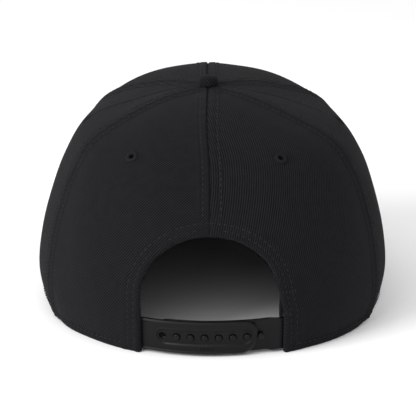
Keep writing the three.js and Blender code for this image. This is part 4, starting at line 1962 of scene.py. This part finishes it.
@dataclass
class Closure(SubAssembly):
    """The two plastic straps."""

    sizes: StrapSizes = StrapSizes()
    stud: StudSizes = StudSizes()
    rib: RibSizes = RibSizes()

    def __post_init__(self) -> None:
        """Sets out the holes, the studs and the free ends along the straps."""
        s, arch = self.sizes, self.arch
        self.middle = s.bottom + s.height / 2
        self.level = float(self.shape.level_at(CENTRE_SEAM, self.middle))
        run = arch.right - arch.left - s.first_hole - s.end_margin - s.shown
        self.holes = arch.left + s.first_hole + s.pitch * np.arange(int(math.floor(run / s.pitch)) + 1)
        shifted = self.holes + s.pitch
        self.studs = shifted[shifted + self.stud.radius + s.gap < arch.right]
        self.outer_end = float(self.holes[-1]) + s.end_margin
        self.inner_end = float(self.studs[0]) - s.inner_margin

    def _grid(self, sewn: float, end: float) -> tuple[np.ndarray, np.ndarray, np.ndarray]:
        """Lays out a strap's mesh.

        Args:
            sewn: Where its sewn end is, in x.
            end: Where its free end is, in x.

        Returns:
            Places in x, heights over its middle and distances from its outline.
        """
        s = self.sizes
        way = 1.0 if end > sewn else -1.0
        length = abs(end - sewn)
        straight = length - s.corner
        body = np.concatenate([STRAP_END_STEPS, np.linspace(1.8 * MM, straight, int(straight / s.cell))])
        turn = np.linspace(0, math.pi / 2, 22)[1:]
        along = np.concatenate([body, straight + s.corner * np.sin(turn)])
        into = np.clip((along - straight) / s.corner, 0, 1)
        half = s.height / 2 - s.corner * (1 - np.sqrt(np.maximum(1 - into * into, 0)))
        outer = 1 - STRAP_SIDE_STEPS / (s.height / 2)
        positive = np.concatenate([outer, np.linspace(outer[-1], 0, 22)[1:]])
        shares = np.concatenate([positive, -positive[-2::-1]])
        up = half[:, None] * shares[None, :]
        x = np.repeat((sewn + way * along)[:, None], len(shares), axis=1)
        ahead = length - along[:, None] + 0 * up
        side = half[:, None] - np.abs(up)
        flat = s.height / 2 - s.corner
        past = along[:, None] - straight
        above = np.abs(up) - flat
        from_corner = s.corner - np.hypot(np.maximum(past, 0), np.maximum(above, 0))
        in_corner = (past > 0) & (above > 0)
        away = np.where(in_corner, from_corner, np.minimum(s.height / 2 - np.abs(up), ahead))
        return x, up, np.maximum(np.minimum(away, np.maximum(side, 0) * 50), 0)

    def _seat(self, x: float, depth: float) -> tuple[np.ndarray, np.ndarray]:
        """Finds a place on the middle line of a strap.

        Args:
            x: Where it is along the strap.
            depth: How deep it lies inside the crown's outside.

        Returns:
            The place and the direction away from the strap.
        """
        bearing = self.shape.bearing_at(x, self.level)
        level = self.shape.level_at(bearing, self.middle)
        return self.shape.layer(bearing, level, depth), self.shape.normal(bearing, level)

    def _sheet(
        self,
        name: str,
        sewn: float,
        end: float,
        depth_at: Callable[[np.ndarray], np.ndarray],
        rise: Callable[[np.ndarray, np.ndarray, np.ndarray], np.ndarray],
    ) -> Object:
        """Makes a strap with relief on its outer face.

        Args:
            name: Name of the piece.
            sewn: Where its sewn end is, in x.
            end: Where its free end is, in x.
            depth_at: Gives its depth inside the crown's outside at each x.
            rise: Gives its relief at each x, height over its middle and distance from its outline.

        Returns:
            The strap.
        """
        s = self.sizes
        x, up, away = self._grid(sewn, end)
        bearing = self.shape.bearing_at(x, self.level)
        level = self.shape.level_at(bearing, self.middle + up)
        depth = depth_at(x)
        worn = round_over(away, s.edge_round)
        outer = self.shape.layer(bearing, level, depth - rise(x, up, away) + worn)
        inner = self.shape.layer(bearing, level, depth + s.thickness - worn)
        return closed_sheet(name, outer, inner, np.stack([x, up], axis=-1))

    def _outer_relief(self, x: np.ndarray, up: np.ndarray, away: np.ndarray) -> np.ndarray:
        """Relief of the outer strap: its border, its long channel and its ribs.

        Args:
            x: Where it is read along the strap.
            up: Height over the strap's middle.
            away: Distance from the strap's outline.

        Returns:
            Height of the relief.
        """
        s, rib = self.sizes, self.rib
        low, high = self.holes[0] + s.channel_before, self.outer_end - s.channel_after
        beyond = np.maximum(np.maximum(low - x, x - high), 0)
        inside = s.channel_half - np.hypot(beyond, up)
        raised = s.border_rise * bell(away, s.border, s.border_width)
        raised = raised - s.channel_depth * smoothstep(inside, -0.2 * MM, 0.25 * MM)
        raised = raised + s.lip * bell(inside, -0.45 * MM, 0.35 * MM)
        over = up + s.height / 2
        ends = smoothstep(over, rib.low, rib.low + rib.fade)
        ends = ends * (1 - smoothstep(over, rib.high - rib.fade, rib.high))
        for i in range(rib.count):
            place = self.arch.sizes.shift - rib.shift + (i - (rib.count - 1) / 2) * rib.pitch
            raised = raised + rib.rise * bell(x, place, rib.width) * ends
        return raised

    def _inner_relief(self, x: np.ndarray, up: np.ndarray, away: np.ndarray) -> np.ndarray:
        """Relief of the inner strap: its border, and the pit behind the empty hole.

        Args:
            x: Where it is read along the strap.
            up: Height over the strap's middle.
            away: Distance from the strap's outline.

        Returns:
            Height of the relief.
        """
        s = self.sizes
        from_hole = np.hypot(x - self.holes[0], up)
        pit = s.pit * (1 - smoothstep(from_hole, 2.1 * MM, 2.4 * MM))
        return s.inner_border_rise * bell(away, s.border, s.border_width) - pit

    def _build_stud(self, x: float, behind: float) -> Object:
        """Makes a stud with a round head.

        Args:
            x: Where it is along the strap.
            behind: Depth of the inner strap's face.

        Returns:
            The stud.
        """
        s, stud = self.sizes, self.stud
        angle = np.linspace(0, math.pi / 2, 8)
        reach = s.gap + s.thickness - stud.short
        dome = np.stack([stud.radius * np.cos(angle), reach + stud.dome * np.sin(angle)], axis=1)
        dome[-1, 0] = 0
        profile = np.concatenate([[[0, -stud.root], [stud.radius, -stud.root]], dome])
        piece = revolved("stud", profile, 36, lambda angle, row: 0 * angle)
        place_on(piece, *self._seat(x, behind))
        return piece

    def build(self) -> None:
        """Builds both straps."""
        s, arch = self.sizes, self.arch
        lining = self.shape.sizes.lining_depth
        behind = lining + s.thickness + s.gap
        step_end = self.outer_end + s.step_inset

        def inner_depth(x: np.ndarray) -> np.ndarray:
            """Depth of the inner strap, which steps back behind the outer one."""
            return lining + (1 - smoothstep(x, step_end, arch.right)) * (behind - lining)

        outer = self._sheet(
            "strap_outer", arch.left - s.tab, self.outer_end, lambda x: np.full(x.shape, lining), self._outer_relief
        )
        cut(outer, [drill(*self._seat(float(x), lining), s.hole, 4 * MM) for x in self.holes])
        dress(outer, self.wardrobe.plastic, ["strap_with_holes"])
        inner = self._sheet("strap_inner", arch.right + s.tab, self.inner_end, inner_depth, self._inner_relief)
        piece = joined("strap_inner", [inner] + [self._build_stud(float(x), behind) for x in self.studs])
        dress(piece, self.wardrobe.plastic, ["strap_with_studs"])


# Studio


@dataclass(frozen=True)
class CameraPlan:
    """Where the photograph was taken from, measured from the crown's axis on the ground."""

    distance: float = 1.2
    elevation: float = 18.6
    pitch: float = 16.4
    lens: float = 199.0
    sensor: float = 36.0
    far: float = 20.0


@dataclass(frozen=True)
class Softbox:
    """A rectangular light aimed at the cap."""

    name: str
    place: tuple[float, float, float]
    size: float
    power: float

    def build(self) -> None:
        """Adds the light."""
        light = bpy.data.lights.new(self.name, "AREA")
        light.shape = "RECTANGLE"
        light.size = light.size_y = self.size
        light.energy = self.power
        lamp = bpy.data.objects.new(self.name, light)
        lamp.location = self.place
        aim = Vector((0, 0, 50 * MM)) - Vector(self.place)
        lamp.rotation_euler = aim.to_track_quat("-Z", "Y").to_euler()
        bpy.context.scene.collection.objects.link(lamp)


class Studio:
    """Camera, lights and the white floor.

    Args:
        axis: Where the crown's axis stands.
    """

    white = "#ffffff"
    sky_strength = 0.8
    floor_half = 4.0
    lights = (
        Softbox("key_light", (-1.1, -0.95, 0.75), 0.8, 21),
        Softbox("front_light", (-0.25, -1.3, 1.05), 1.0, 6),
    )

    def __init__(self, axis: np.ndarray) -> None:
        """Keeps the place of the crown's axis."""
        self.axis = axis
        self.plan = CameraPlan()

    def build(self) -> None:
        """Sets up the camera, the lights and the floor."""
        scene = bpy.context.scene
        self._camera()
        world = bpy.data.worlds.new("white_room")
        scene.world = world
        tree = empty_tree(world)
        sky = add_node(tree, "ShaderNodeBackground", {"Color": linear(self.white), "Strength": self.sky_strength})
        add_node(tree, "ShaderNodeOutputWorld", {"Surface": sky.outputs[0]})
        for light in self.lights:
            light.build()
        self._floor()
        scene.view_settings.view_transform = "Standard"
        scene.view_settings.look = "None"

    def _camera(self) -> None:
        """Adds the camera."""
        plan = self.plan
        camera = bpy.data.objects.new("camera", bpy.data.cameras.new("camera"))
        camera.data.lens = plan.lens
        camera.data.sensor_width = plan.sensor
        camera.data.clip_end = plan.far
        up = math.radians(plan.elevation)
        back = float(self.axis[1]) - plan.distance * math.cos(up)
        camera.location = (float(self.axis[0]), back, plan.distance * math.sin(up))
        camera.rotation_euler = (math.radians(90 - plan.pitch), 0, 0)
        bpy.context.scene.collection.objects.link(camera)
        bpy.context.scene.camera = camera

    def _floor(self) -> None:
        """Lays a wide white floor."""
        signs = np.array([[-1, -1, 0], [1, -1, 0], [1, 1, 0], [-1, 1, 0]])
        floor = mesh_object("floor", signs * self.floor_half, [(0, 1, 2, 3)])
        material = bpy.data.materials.new("white_paper")
        end_material(empty_tree(material), "ShaderNodeBsdfDiffuse", {"Color": linear(self.white)})
        floor.data.materials.append(material)


def crown_axis(crown: CrownSizes) -> np.ndarray:
    """Finds the crown's axis from the button, which stands on the crown's top.

    Args:
        crown: Sizes of the crown.

    Returns:
        Its x and y.
    """
    low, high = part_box("button")
    aside = LEVELS[-1, 8] * crown.half_middle
    return np.array([(low.x + high.x) / 2 - aside, (low.y + high.y) / 2])


def main() -> None:
    """Builds every piece, then the studio."""
    logging.basicConfig(level=logging.INFO)
    sizes = CrownSizes()
    shape = CrownShape(sizes, VisorSizes(), crown_axis(sizes))
    wardrobe = Wardrobe()
    shared = (shape, ArchShape(ArchSizes()), wardrobe, StitchRows(wardrobe))
    for assembly in (Crown(*shared), Inside(*shared), Visor(*shared), Closure(*shared)):
        assembly.build()
    Studio(shape.axis).build()


if __name__ == "__main__":
    main()
